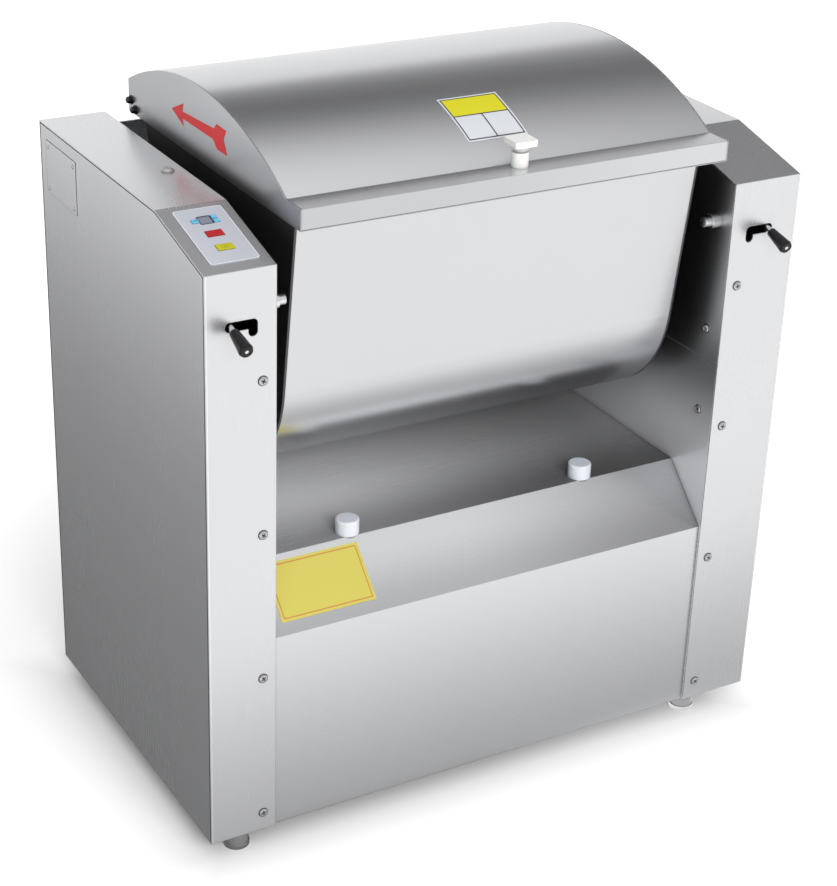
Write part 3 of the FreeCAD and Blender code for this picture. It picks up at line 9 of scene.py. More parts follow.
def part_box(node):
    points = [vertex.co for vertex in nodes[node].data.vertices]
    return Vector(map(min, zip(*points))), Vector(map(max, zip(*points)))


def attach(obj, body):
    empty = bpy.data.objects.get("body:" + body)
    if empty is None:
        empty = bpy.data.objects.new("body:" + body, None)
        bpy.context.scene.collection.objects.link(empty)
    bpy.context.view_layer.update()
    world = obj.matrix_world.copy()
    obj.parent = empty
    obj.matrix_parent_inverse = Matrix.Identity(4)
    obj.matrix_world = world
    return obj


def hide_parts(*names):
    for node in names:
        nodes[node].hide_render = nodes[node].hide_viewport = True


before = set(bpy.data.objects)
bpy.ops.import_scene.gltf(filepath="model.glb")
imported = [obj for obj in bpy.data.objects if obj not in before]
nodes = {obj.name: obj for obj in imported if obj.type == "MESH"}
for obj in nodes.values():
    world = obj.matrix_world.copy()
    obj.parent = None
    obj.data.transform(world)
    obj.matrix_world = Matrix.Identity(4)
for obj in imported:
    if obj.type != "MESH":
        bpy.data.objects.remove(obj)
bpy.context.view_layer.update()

MM = 0.001

# Where things are on the machine, in metres, read from the parts that carry them
COVER_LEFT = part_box("left_cover")
COVER_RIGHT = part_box("right_cover")
FRONT = COVER_LEFT[0].y
WALL_LEFT = COVER_LEFT[1].x
WALL_RIGHT = COVER_RIGHT[0].x
CABINET_TOP = COVER_LEFT[1].z
FACET_LOW = 671.4 * MM
FACET_DEPTH = 112.3 * MM
FACET_TILT = math.atan2(CABINET_TOP - FACET_LOW, FACET_DEPTH)
SILL_FRONT = 259.7 * MM
SILL_DEPTH = 61.7 * MM
TRAY_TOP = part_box("base_front_and_tray")[1].z
PANEL_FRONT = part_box("base_front_and_tray")[0].y
REAR = COVER_LEFT[1].y
# Line on the walls beside the bowl that bounds their painted reflection, and how far back its
# dark line runs
WALL_REFLECTION_EDGE = 461.5 * MM
WALL_REFLECTION_EDGE_REACH = 150 * MM
LID_END_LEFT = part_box("lid_end_left")
LID_END_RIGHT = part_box("lid_end_right")
LID_STRIP = 724.1 * MM
LID_ARC_START = LID_END_LEFT[0].y + 31.5 * MM
LID_REAR_TOP = 738 * MM
LID_ARC_RADIUS = 392 * MM


def new_node(tree, kind, **values):
    """A node with its inputs and settings filled in by name."""
    node = tree.nodes.new(kind)
    for name, value in values.items():
        label = name.replace("_", " ")
        if label in node.inputs:
            node.inputs[label].default_value = value
        else:
            setattr(node, name, value)
    return node


def new_group(name, inputs, outputs):
    """An empty shader group with its sockets, and its two end nodes."""
    tree = bpy.data.node_groups.new(name, "ShaderNodeTree")
    for socket, kind, value in inputs:
        made = tree.interface.new_socket(name=socket, in_out="INPUT", socket_type=kind)
        made.default_value = value
    for socket, kind in outputs:
        tree.interface.new_socket(name=socket, in_out="OUTPUT", socket_type=kind)
    return tree, tree.nodes.new("NodeGroupInput"), tree.nodes.new("NodeGroupOutput")


def span(tree, source, start, stop, first, last, kind="SMOOTHSTEP"):
    """A value that goes from first to last while its source goes from start to stop."""
    node = new_node(tree, "ShaderNodeMapRange", interpolation_type=kind)
    node.inputs["From Min"].default_value = start
    node.inputs["From Max"].default_value = stop
    node.inputs["To Min"].default_value = first
    node.inputs["To Max"].default_value = last
    tree.links.new(source, node.inputs["Value"])
    return node.outputs[0]


def reckoned(tree, operation, one, other):
    """What a sum, product or maximum of two values gives."""
    node = new_node(tree, "ShaderNodeMath", operation=operation)
    tree.links.new(one, node.inputs[0])
    tree.links.new(other, node.inputs[1])
    return node.outputs[0]


def grain_and_painted_shade_group():
    """Brushed or turned grain and painted shade: tone, roughness and a normal with softened
    edges.
    """
    tree, given, result = new_group(
        "Grain and painted shade",
        [
            ("Tone", "NodeSocketColor", (0.6, 0.6, 0.61, 1)),
            ("Stretch", "NodeSocketVector", (40, 1500, 1500)),
            ("Roughness", "NodeSocketFloat", 0.35),
            ("Unevenness", "NodeSocketFloat", 0.12),
            ("Depth", "NodeSocketFloat", 0.06),
            ("Edge", "NodeSocketFloat", 0.0012),
            ("Painted underside shade", "NodeSocketFloat", 0.9),
        ],
        [
            ("Color", "NodeSocketColor"),
            ("Roughness", "NodeSocketFloat"),
            ("Normal", "NodeSocketVector"),
        ],
    )
    link = tree.links.new
    place = new_node(tree, "ShaderNodeTexCoord")
    stretched = new_node(tree, "ShaderNodeVectorMath", operation="MULTIPLY")
    link(place.outputs["Object"], stretched.inputs[0])
    link(given.outputs["Stretch"], stretched.inputs[1])
    hairs = new_node(tree, "ShaderNodeTexNoise", Scale=1.0, Detail=3.0)
    link(stretched.outputs[0], hairs.inputs["Vector"])
    clouds = new_node(tree, "ShaderNodeTexNoise", Scale=7.0, Detail=4.0)
    link(place.outputs["Object"], clouds.inputs["Vector"])

    hair_shade = span(tree, hairs.outputs["Fac"], 0.0, 1.0, 0.98, 1.01, "LINEAR")
    cloud_shade = span(tree, clouds.outputs["Fac"], 0.0, 1.0, 0.98, 1.015, "LINEAR")
    # Painted shade: faces turned downwards darken to the underside level, and corners and
    # contacts darken by ambient occlusion
    way = new_node(tree, "ShaderNodeNewGeometry")
    upward = new_node(tree, "ShaderNodeSeparateXYZ")
    link(way.outputs["Normal"], upward.inputs[0])
    painted_underside_shade = new_node(tree, "ShaderNodeMapRange", interpolation_type="SMOOTHSTEP")
    painted_underside_shade.inputs["From Min"].default_value = -0.9
    painted_underside_shade.inputs["From Max"].default_value = -0.4
    painted_underside_shade.inputs["To Max"].default_value = 1.0
    link(given.outputs["Painted underside shade"], painted_underside_shade.inputs["To Min"])
    link(upward.outputs["Z"], painted_underside_shade.inputs["Value"])
    corner = new_node(tree, "ShaderNodeAmbientOcclusion", samples=4, Distance=0.014)
    painted_corner_shade = span(tree, corner.outputs["AO"], 0.0, 0.8, 0.4, 1.0, "LINEAR")
    level = reckoned(tree, "MULTIPLY", hair_shade, cloud_shade)
    level = reckoned(tree, "MULTIPLY", level, painted_underside_shade.outputs[0])
    level = reckoned(tree, "MULTIPLY", level, painted_corner_shade)
    tinted = new_node(tree, "ShaderNodeVectorMath", operation="SCALE")
    link(given.outputs["Tone"], tinted.inputs[0])
    link(level, tinted.inputs["Scale"])
    link(tinted.outputs[0], result.inputs["Color"])

    mixed = reckoned(tree, "ADD", hairs.outputs["Fac"], clouds.outputs["Fac"])
    centred = new_node(tree, "ShaderNodeMath", operation="SUBTRACT")
    link(mixed, centred.inputs[0])
    centred.inputs[1].default_value = 1.0
    spread = new_node(tree, "ShaderNodeMath", operation="MULTIPLY_ADD")
    link(centred.outputs[0], spread.inputs[0])
    link(given.outputs["Unevenness"], spread.inputs[1])
    link(given.outputs["Roughness"], spread.inputs[2])
    link(spread.outputs[0], result.inputs["Roughness"])

    rounded = new_node(tree, "ShaderNodeBevel", samples=4)
    link(given.outputs["Edge"], rounded.inputs["Radius"])
    scratched = new_node(tree, "ShaderNodeBump", Distance=0.0002)
    link(given.outputs["Depth"], scratched.inputs["Strength"])
    link(hairs.outputs["Fac"], scratched.inputs["Height"])
    link(rounded.outputs["Normal"], scratched.inputs["Normal"])
    link(scratched.outputs["Normal"], result.inputs["Normal"])
    return tree


GRAIN_AND_PAINTED_SHADE = grain_and_painted_shade_group()

# Stretches of the grain: hairs along the machine, hairs upright, and an even speckle
LENGTHWISE = (25, 1400, 1400)
UPRIGHT = (1400, 1400, 25)
SPECKLED = (900, 900, 900)


def finish(name, tone, stretch, roughness, unevenness=0.02, depth=0.003, edge=0.0012, **shader):
    """A material whose colour, roughness and bump come from the shared grain, and whose colour
    carries its painted shade.
    """
    material = bpy.data.materials.new(name)
    material.use_nodes = True
    tree = material.node_tree
    principled = tree.nodes["Principled BSDF"]
    grain = new_node(tree, "ShaderNodeGroup", node_tree=GRAIN_AND_PAINTED_SHADE)
    grain.name = "Grain and painted shade"
    grain.inputs["Tone"].default_value = (*tone, 1)
    grain.inputs["Stretch"].default_value = stretch
    grain.inputs["Roughness"].default_value = roughness
    grain.inputs["Unevenness"].default_value = unevenness
    grain.inputs["Depth"].default_value = depth
    grain.inputs["Edge"].default_value = edge
    tree.links.new(grain.outputs["Color"], principled.inputs["Base Color"])
    tree.links.new(grain.outputs["Roughness"], principled.inputs["Roughness"])
    tree.links.new(grain.outputs["Normal"], principled.inputs["Normal"])
    for socket, value in shader.items():
        principled.inputs[socket.replace("_", " ")].default_value = value
    return material


cover_steel = finish("cover_steel", (0.715, 0.72, 0.735), UPRIGHT, 0.27, Metallic=0.87)
lid_steel = finish("lid_steel", (0.655, 0.66, 0.675), LENGTHWISE, 0.22, Metallic=0.9)
lid_end_steel = finish("lid_end_steel", (0.52, 0.525, 0.54), LENGTHWISE, 0.3, Metallic=1.0)
bowl_steel = finish("bowl_steel", (0.71, 0.715, 0.73), LENGTHWISE, 0.25, Metallic=1.0)
# Painted shade: the bowl's faces turned downwards darken to 0.3 of their tone
bowl_steel.node_tree.nodes["Grain and painted shade"].inputs["Painted underside shade"].default_value = 0.3
# Painted shade: the bowl's end plates get a near-black tone, standing for the dark gap beside the
# bowl
bowl_end_painted_shade_steel = finish("bowl_end_painted_shade_steel", (0.13, 0.13, 0.135), SPECKLED, 0.5, Metallic=1.0)
base_steel = finish("base_steel", (0.765, 0.77, 0.785), LENGTHWISE, 0.27, Metallic=1.0)
wall_steel = finish("wall_steel", (0.58, 0.585, 0.6), UPRIGHT, 0.36, Metallic=1.0)


def chosen(tree, mask, plain, special):
    """The plain value where the mask is 0 and the special one where it is 1."""
    node = new_node(tree, "ShaderNodeMix")
    tree.links.new(mask, node.inputs["Factor"])
    for socket, value in (("A", plain), ("B", special)):
        if isinstance(value, float):
            node.inputs[socket].default_value = value
        else:
            tree.links.new(value, node.inputs[socket])
    return node.outputs["Result"]


def shading_group(name):
    """A group that paints shade by scaling a colour, with the way its faces look and their place
    on the part.
    """
    tree, given, result = new_group(
        name,
        [("Color", "NodeSocketColor", (0.7, 0.7, 0.7, 1))],
        [("Color", "NodeSocketColor"), ("Metallic", "NodeSocketFloat")],
    )
    way = new_node(tree, "ShaderNodeNewGeometry")
    facing = new_node(tree, "ShaderNodeSeparateXYZ")
    tree.links.new(way.outputs["True Normal"], facing.inputs[0])
    place = new_node(tree, "ShaderNodeTexCoord")
    axes = new_node(tree, "ShaderNodeSeparateXYZ")
    tree.links.new(place.outputs["Object"], axes.inputs[0])
    shaded = new_node(tree, "ShaderNodeVectorMath", operation="SCALE")
    tree.links.new(given.outputs["Color"], shaded.inputs[0])
    tree.links.new(shaded.outputs[0], result.inputs["Color"])
    return tree, facing.outputs, axes.outputs, shaded.inputs["Scale"], result.inputs["Metallic"]


def tray_painted_shade_group():
    """Painted shade and light on the sill and the tray: both darken to the right, the tray is
    duller metal.
    """
    tree, facing, axes, share, metallic = shading_group("Tray painted shade")
    is_sill = span(tree, facing["Z"], 0.2, 0.4, 0.0, 1.0)
    is_top = span(tree, facing["Z"], 0.9, 0.95, 0.0, 1.0)
    # Painted shade: the sill darkens towards its lower edge and to the right; the tray top is
    # darker at its front and to the right, lighter behind
    sill = reckoned(
        tree, "MULTIPLY",
        span(tree, axes["Z"], SILL_FRONT, SILL_FRONT + 0.05, 0.7, 1.0),
        span(tree, axes["X"], -0.05, WALL_RIGHT, 1.18, 0.72))
    top = reckoned(
        tree, "MULTIPLY",
        span(tree, axes["Y"], PANEL_FRONT + SILL_DEPTH, 0.0, 0.45, 1.6),
        span(tree, axes["X"], WALL_LEFT, WALL_RIGHT, 1.0, 0.25))
    tree.links.new(chosen(tree, is_top, chosen(tree, is_sill, 1.0, sill), top), share)
    tree.links.new(chosen(tree, is_top, 1.0, 0.15), metallic)
    return tree


def skirt_painted_shade_group():
    """Painted shade on the lid: its front skirt is darker to the left."""
    tree, facing, axes, share, metallic = shading_group("Skirt painted shade")
    is_front = span(tree, facing["Y"], -0.9, -0.95, 0.0, 1.0)
    # Painted shade: the front of the skirt goes from 0.92 at the left to 1.06 at the right
    skirt = span(tree, axes["X"], -0.1, WALL_RIGHT, 0.92, 1.06)
    tree.links.new(chosen(tree, is_front, 1.0, skirt), share)
    tree.links.new(chosen(tree, is_front, 0.9, 1.0), metallic)
    return tree


def wall_painted_reflection_group():
    """Painted reflection on the walls beside the bowl: lighter and duller metal below a line."""
    tree, facing, axes, share, metallic = shading_group("Wall painted reflection")
    # Painted reflection: below the line the wall lightens towards 1.6 over 0.13 m and turns
    # duller over 0.1 m
    tree.links.new(span(tree, axes["Z"], WALL_REFLECTION_EDGE, WALL_REFLECTION_EDGE - 0.13, 1.0, 1.6), share)
    tree.links.new(span(tree, axes["Z"], WALL_REFLECTION_EDGE, WALL_REFLECTION_EDGE - 0.1, 1.0, 0.6), metallic)
    return tree


def shade(material, group):
    """Put a group's painted shade between the grain and the shader."""
    tree = material.node_tree
    shader = tree.nodes["Principled BSDF"]
    shading = new_node(tree, "ShaderNodeGroup", node_tree=group)
    tree.links.new(tree.nodes["Grain and painted shade"].outputs["Color"], shading.inputs["Color"])
    tree.links.new(shading.outputs["Color"], shader.inputs["Base Color"])
    tree.links.new(shading.outputs["Metallic"], shader.inputs["Metallic"])


# Painted shade and light on the tray and sill and on the lid's skirt, and a painted reflection
# low on the walls beside the bowl
shade(base_steel, tray_painted_shade_group())
shade(lid_steel, skirt_painted_shade_group())
shade(wall_steel, wall_painted_reflection_group())
turned_steel = finish(
    "turned_steel", (0.84, 0.84, 0.85), (1500, 60, 60), 0.2, edge=0.0004, Metallic=1.0)
foot_steel = finish("foot_steel", (0.4, 0.4, 0.41), UPRIGHT, 0.25, edge=0.0006, Metallic=0.65)
polished_steel = finish(
    "polished_steel", (0.68, 0.68, 0.69), LENGTHWISE, 0.2, edge=0.001, Metallic=1.0)
screw_steel = finish(
    "screw_steel", (0.55, 0.55, 0.56), SPECKLED, 0.14, edge=0.0003, Metallic=1.0)
plug_steel = finish("plug_steel", (0.6, 0.6, 0.61), SPECKLED, 0.5, edge=0.0004, Metallic=0.9)
gear_steel = finish("gear_steel", (0.42, 0.42, 0.43), SPECKLED, 0.38, edge=0.0006, Metallic=1.0)
cast_iron = finish("cast_iron", (0.1, 0.1, 0.105), (500, 500, 500), 0.6, depth=0.4, Metallic=0.6)
zinc_channel = finish("zinc_channel", (0.5, 0.51, 0.53), (90, 90, 90), 0.45, Metallic=1.0)
motor_paint = finish("motor_paint", (0.13, 0.19, 0.24), (700, 700, 700), 0.42, depth=0.2)
switchgear_grey = finish("switchgear_grey", (0.42, 0.44, 0.45), (600, 600, 600), 0.5, depth=0.15)
belt_rubber = finish("belt_rubber", (0.02, 0.02, 0.021), (900, 900, 900), 0.75, depth=0.5)
gland_plastic = finish("gland_plastic", (0.03, 0.03, 0.032), (500, 500, 500), 0.4, edge=0.0005)
board_laminate = finish("board_laminate", (0.02, 0.16, 0.07), (700, 60, 700), 0.4, edge=0.0002)
white_nylon = finish(
    "white_nylon", (0.66, 0.69, 0.74), (350, 350, 350), 0.42, depth=0.1, edge=0.0012,
    Subsurface_Weight=0.25, Subsurface_Scale=0.004)
ivory_nylon = finish(
    "ivory_nylon", (0.8, 0.8, 0.78), (350, 350, 350), 0.42, depth=0.1, edge=0.0014,
    Subsurface_Weight=0.25, Subsurface_Scale=0.004)
black_grip = finish(
    "black_grip", (0.008, 0.008, 0.009), (300, 300, 300), 0.22, edge=0.0006,
    Specular_IOR_Level=0.28)
overlay_film = finish(
    "overlay_film", (0.5, 0.52, 0.57), (1800, 1800, 1800), 0.35, depth=0.05, edge=0.0004)
blue_key = finish("blue_key", (0.16, 0.52, 0.8), (1500, 1500, 1500), 0.34, edge=0.0003)
red_key = finish("red_key", (0.44, 0.01, 0.01), (1500, 1500, 1500), 0.5, edge=0.0004)
yellow_key = finish("yellow_key", (0.52, 0.49, 0.005), (1500, 1500, 1500), 0.5, edge=0.0004)
display_lens = finish(
    "display_lens", (0.24, 0.26, 0.32), (1500, 1500, 1500), 0.15, Coat_Weight=0.5)
dark_print = finish("dark_print", (0.03, 0.03, 0.05), (1500, 1500, 1500), 0.35, edge=0.0001)
seam_shadow = finish("seam_shadow", (0.02, 0.02, 0.021), SPECKLED, 0.7, edge=0.0001)
plate_shade = finish("plate_shade", (0.13, 0.13, 0.135), SPECKLED, 0.6, edge=0.0001)
arrow_vinyl = finish(
    "arrow_vinyl", (0.85, 0.055, 0.06), (300, 300, 300), 0.55, edge=0.0001,
    Specular_IOR_Level=0.3)
yellow_vinyl = finish("yellow_vinyl", (0.6, 0.56, 0.005), (220, 220, 220), 0.5, edge=0.0001)
white_vinyl = finish("white_vinyl", (0.58, 0.6, 0.62), (220, 220, 220), 0.45, edge=0.0001)
yellow_paper = finish(
    "yellow_paper", (0.52, 0.46, 0.09), (260, 260, 260), 0.6, depth=0.2, edge=0.0001)
red_print = finish("red_print", (0.5, 0.12, 0.05), (900, 900, 900), 0.6, edge=0.0001)
key_print = finish("key_print", (0.12, 0.1, 0.02), (900, 900, 900), 0.5, edge=0.0001)
# Painted highlight: a lighter steel for the bright line along the cabinets' front folds
painted_fold_highlight = finish(
    "painted_fold_highlight", (0.84, 0.845, 0.855), UPRIGHT, 0.27, edge=0.0001, Metallic=0.85)
overlay_rim = finish("overlay_rim", (0.8, 0.82, 0.86), (900, 900, 900), 0.3, edge=0.0001)
black_bolt = finish("black_bolt", (0.06, 0.06, 0.065), SPECKLED, 0.28, edge=0.0004, Metallic=1.0)

NODE_FINISH = {
    cover_steel: ("left_cover", "right_cover", "blank_plate"),
    plug_steel: ("blind_plug",),
    lid_steel: ("lid_shell", "lid_hinge_leaves"),
    lid_end_steel: ("lid_end_left", "lid_end_right"),
    bowl_steel: ("bowl_trough", "bowl_hinge_brackets"),
    bowl_end_painted_shade_steel: ("bowl_end_left", "bowl_end_right"),
    base_steel: ("base_front_and_tray", "base_rear_panel"),
    wall_steel: ("left_side_frame", "right_side_frame"),
    turned_steel: (
        "latch_collar_left", "latch_collar_right", "latch_pin_left", "latch_pin_right",
        "latch_lever_left", "latch_lever_right", "hinge_pins", "motor_shaft",
        "foot_front_left", "foot_front_right", "foot_rear_left", "foot_rear_right",
    ),
    polished_steel: ("agitator_shaft", "agitator_blades"),
    screw_steel: ("cover_screws", "right_wall_screws", "bowl_rest_screws"),
    gear_steel: ("bull_gear", "pinion_shaft"),
    cast_iron: (
        "bearing_housing_left", "bearing_housing_right", "countershaft_bearing",
        "countershaft_pulley", "motor_pulley",
    ),
    zinc_channel: ("chassis", "motor_shelf"),
    motor_paint: ("motor",),
    switchgear_grey: ("electrical_box",),
    belt_rubber: ("drive_belt",),
    gland_plastic: ("cable_gland",),
    board_laminate: ("control_board",),
    white_nylon: ("bowl_rest_left", "bowl_rest_right"),
    ivory_nylon: ("lid_knob",),
    black_grip: ("latch_grip_left", "latch_grip_right"),
    overlay_film: ("control_overlay",),
    blue_key: ("key_mode", "key_up", "key_down"),
    red_key: ("key_stop",),
    yellow_key: ("key_start",),
    display_lens: ("display_window",),
}
for material, names in NODE_FINISH.items():
    for name in names:
        nodes[name].data.materials.clear()
        nodes[name].data.materials.append(material)


def piece(name, points, faces, material, body, smooth=False):
    """A mesh that rides on a body of the machine."""
    mesh = bpy.data.meshes.new(name)
    mesh.from_pydata([tuple(point) for point in points], [], faces)
    mesh.update()
    mesh.materials.append(material)
    if smooth:
        mesh.shade_smooth()
    made = bpy.data.objects.new(name, mesh)
    bpy.context.scene.collection.objects.link(made)
    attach(made, body)
    return made


def lathe(profile, count=48):
    """Points and faces of a closed profile of (radius, height) turned about +Z."""
    points = []
    rings = []
    for radius, height in profile:
        if radius < 1e-6:
            rings.append([len(points)])
            points.append(Vector((0, 0, height)))
            continue
        rings.append(list(range(len(points), len(points) + count)))
        for step in range(count):
            angle = 2 * math.pi * step / count
            points.append(Vector((radius * math.cos(angle), radius * math.sin(angle), height)))
    faces = []
    for low, high in zip(rings, rings[1:]):
        for step in range(count):
            after = (step + 1) % count
            if len(low) == 1:
                faces.append((low[0], high[after], high[step]))
            elif len(high) == 1:
                faces.append((low[step], low[after], high[0]))
            else:
                faces.append((low[step], low[after], high[after], high[step]))
    return points, faces


def moved(points, matrix):
    """The points carried over by a matrix."""
    return [matrix @ Vector(point) for point in points]


def facet_matrix(across, along, above=0.0):
    """Local frame on the left control facet: X to the right, Y up the facet."""
    tilt = Matrix.Rotation(FACET_TILT, 4, "X")
    origin = Vector((across, FRONT, FACET_LOW)) + tilt @ Vector((0, along, above))
    return Matrix.Translation(origin) @ tilt


def ribbon(name, path, width, material, body, closed=False):
    """A thin flat band of a given width along a path, in the plane of the path's corners.

    Each path item is (point, sideways), where sideways is a unit direction across the band.
    """
    points = []
    for point, sideways in path:
        points.append(Vector(point) - Vector(sideways) * width / 2)
        points.append(Vector(point) + Vector(sideways) * width / 2)
    count = len(path)
    faces = []
    for step in range(count if closed else count - 1):
        near, far = 2 * step, 2 * ((step + 1) % count)
        faces.append((near, near + 1, far + 1, far))
    return piece(name, points, faces, material, body)


def inset_outline(corners, inset):
    """Mitred path inside a flat outline given anticlockwise as (u, v) corners."""
    path = []
    for index, corner in enumerate(corners):
        here = Vector(corner)
        before = (here - Vector(corners[index - 1])).normalized()
        after = (Vector(corners[(index + 1) % len(corners)]) - here).normalized()
        inward = Vector((-before.y - after.y, before.x + after.x))
        inward /= max(1 + before.dot(after), 0.2)
        path.append((here + inward * inset, inward))
    return path


def flat_panel(name, corners, matrix, material, body):
    """One flat face through (u, v) corners of a local frame."""
    points = moved([(u, v, 0) for u, v in corners], matrix)
    return piece(name, points, [tuple(range(len(corners)))], material, body)


def frame_line(name, corners, inset, width, matrix, material, body):
    """A mitred line that runs inside the edge of a flat outline."""
    turn = matrix.to_3x3()
    path = []
    for spot, inward in inset_outline(corners, inset):
        path.append((matrix @ Vector((*spot, 0)), turn @ Vector((*inward, 0))))
    return ribbon(name, path, width, material, body, closed=True)


SCREW_RINGS = 9
SCREW_SPOKES = 32


def pan_head(radius, height, cross):
    """Points and faces of a domed head with a cross recess, standing on z = 0."""
    points = []
    faces = []

    def level(x, y):
        """Height of the dome over a point, less the depth of the recess."""
        across = math.hypot(x, y) / radius
        dome = height * (1 - 0.42 * across ** 2.5)
        arm = min(abs(x), abs(y))
        reach = max(abs(x), abs(y))
        if arm < cross * 0.24 and reach < cross:
            dome -= height * 0.55 * min(1, (cross - reach) / (cross * 0.3))
        return dome

    for ring in range(1, SCREW_RINGS + 1):
        for spoke in range(SCREW_SPOKES):
            angle = 2 * math.pi * (spoke + 0.5) / SCREW_SPOKES
            x = radius * ring / SCREW_RINGS * math.cos(angle)
            y = radius * ring / SCREW_RINGS * math.sin(angle)
            points.append((x, y, level(x, y)))
    for spoke in range(SCREW_SPOKES):
        angle = 2 * math.pi * (spoke + 0.5) / SCREW_SPOKES
        points.append((radius * math.cos(angle), radius * math.sin(angle), 0))
    points.append((0, 0, level(0, 0)))
    for ring in range(SCREW_RINGS):
        for spoke in range(SCREW_SPOKES):
            low = ring * SCREW_SPOKES
            after = (spoke + 1) % SCREW_SPOKES
            faces.append((
                low + spoke, low + SCREW_SPOKES + spoke, low + SCREW_SPOKES + after, low + after))
    centre = len(points) - 1
    for spoke in range(SCREW_SPOKES):
        faces.append((spoke, (spoke + 1) % SCREW_SPOKES, centre))
    return points, faces


def cross_shade(height, reach, half):
    """Points and faces of the painted shade at the bottom of a cross recess."""
    corners = [
        (half, -reach), (half, -half), (reach, -half), (reach, half), (half, half), (half, reach),
        (-half, reach), (-half, half), (-reach, half), (-reach, -half), (-half, -half),
        (-half, -reach),
    ]
    return [(x, y, height) for x, y in corners], [tuple(range(len(corners)))]


def outward_matrix(at, towards, spin=0.0):
    """Local frame whose Z points out of a face."""
    turn = Vector(towards).to_track_quat("Z", "Y").to_matrix().to_4x4()
    return Matrix.Translation(at) @ turn @ Matrix.Rotation(spin, 4, "Z")


def merged(shapes):
    """One list of points and faces out of several."""
    points = []
    faces = []
    for some_points, some_faces in shapes:
        shift = len(points)
        points += some_points
        faces += [tuple(spot + shift for spot in face) for face in some_faces]
    return points, faces


SCREW_RADIUS = 4.8 * MM
SCREW_HEIGHT = 2.6 * MM

# Places of the screws in millimetres: off the inner face, lowest one and step up on the
# cabinets' fronts, and behind the front, lowest one and step up on the right wall
FRONT_SCREWS = (14.6, 49.6, 168.3)
WALL_SCREWS = (26.4, 398.7, 98.3)


def build_screws():
    """Cross-recess pan heads on the cabinets' fronts and on the right wall."""
    head = pan_head(SCREW_RADIUS, SCREW_HEIGHT, 2.9 * MM)
    shank = lathe([(0, 0), (2.5 * MM, 0), (2.5 * MM, -5 * MM), (0, -5 * MM)], 16)
    # Painted shade: a dark ring round each head for its shadow, and a dark cross at the bottom of
    # its recess
    dark = (
        lathe([(5.5 * MM, 0.1 * MM), (4.4 * MM, 0.1 * MM)], 32),
        cross_shade(1.7 * MM, 2.7 * MM, 0.65 * MM),
    )
    fronts = []
    shades = []
    aside, lowest, step = FRONT_SCREWS
    for x in (WALL_LEFT - aside * MM, WALL_RIGHT + aside * MM):
        for row in range(4):
            at = (x, FRONT, (lowest + step * row) * MM)
            matrix = outward_matrix(at, (0, -1, 0), 0.5 + 1.9 * row + x)
            shades += [(moved(points, matrix), faces) for points, faces in dark]
            fronts += [(moved(points, matrix), faces) for points, faces in (head, shank)]
    screws = piece("cover_screw_heads", *merged(fronts), screw_steel, "base", smooth=True)
    piece("cover_screw_shades", *merged(shades), seam_shadow, "base")
    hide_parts("cover_screws")
    walls = []
    shades = []
    behind, lowest, step = WALL_SCREWS
    for row in range(2):
        at = (WALL_RIGHT, FRONT + behind * MM, (lowest + step * row) * MM)
        matrix = outward_matrix(at, (-1, 0, 0), 0.3 + row)
        walls += [(moved(points, matrix), faces) for points, faces in (head, shank)]
        shades += [(moved(points, matrix), faces) for points, faces in dark]
    screws = piece("wall_screw_heads", *merged(walls), screw_steel, "base", smooth=True)
    piece("wall_screw_shades", *merged(shades), seam_shadow, "base")
    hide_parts("right_wall_screws")


RIVET_PROFILE = [(2.5 * MM, 0), (2.4 * MM, 0.5 * MM), (1.6 * MM, 0.9 * MM), (0, 1.1 * MM)]
RIVET_INSET = 6 * MM

# Local frame of the left side: X runs to the front, Y up, Z outwards
SIDE_FRAME = Matrix(((0, 0, -1, 0), (-1, 0, 0, 0), (0, 1, 0, 0), (0, 0, 0, 1)))


def build_side_plate():
    """Rivets and the shadow line round the blank plate on the left side."""
    low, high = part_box("blank_plate")
    rivets = []
    for y in (low.y + RIVET_INSET, high.y - RIVET_INSET):
        for z in (low.z + RIVET_INSET, high.z - RIVET_INSET):
            points, faces = lathe(RIVET_PROFILE, 20)
            rivets.append((moved(points, outward_matrix((low.x, y, z), (-1, 0, 0))), faces))
    piece("plate_rivets", *merged(rivets), screw_steel, "base", smooth=True)
    face = Matrix.Translation((COVER_LEFT[0].x - 0.1 * MM, 0, 0)) @ SIDE_FRAME
    corners = [(-high.y, low.z), (-low.y, low.z), (-low.y, high.z), (-high.y, high.z)]
    frame_line("plate_shadow", corners, -0.25 * MM, 0.5 * MM, face, plate_shade, "base")


def build_side_seams():
    """Joint between the wrapped cover and its side sheet, on both outer sides."""
    low = COVER_LEFT[0].z
    corners = [
        (FRONT, low), (FRONT, FACET_LOW), (FRONT + FACET_DEPTH, CABINET_TOP),
        (REAR, CABINET_TOP), (REAR, low),
    ]
    for name, x in (("left", COVER_LEFT[0].x), ("right", COVER_RIGHT[1].x)):
        outward = -1 if x < 0 else 1
        path = []
        for spot, inward in inset_outline([(y, z) for y, z in reversed(corners)], 2.2 * MM):
            path.append(((x + outward * 0.12 * MM, *spot), (0, *inward)))
        ribbon(f"side_seam_{name}", path, 1.1 * MM, seam_shadow, "base")


def build_painted_fold_highlights():
    """Painted highlight along the upright front folds of both cabinets."""
    inset = 1.5 * MM
    ends = (COVER_LEFT[0].z + 1 * MM, FACET_LOW - 1 * MM)
    for name, x in (("left", COVER_LEFT[0].x + inset), ("right", COVER_RIGHT[1].x - inset)):
        path = [((x, FRONT - 0.1 * MM, z), (1, 0, 0)) for z in ends]
        ribbon(f"painted_fold_highlight_{name}", path, 1.4 * MM, painted_fold_highlight, "base")


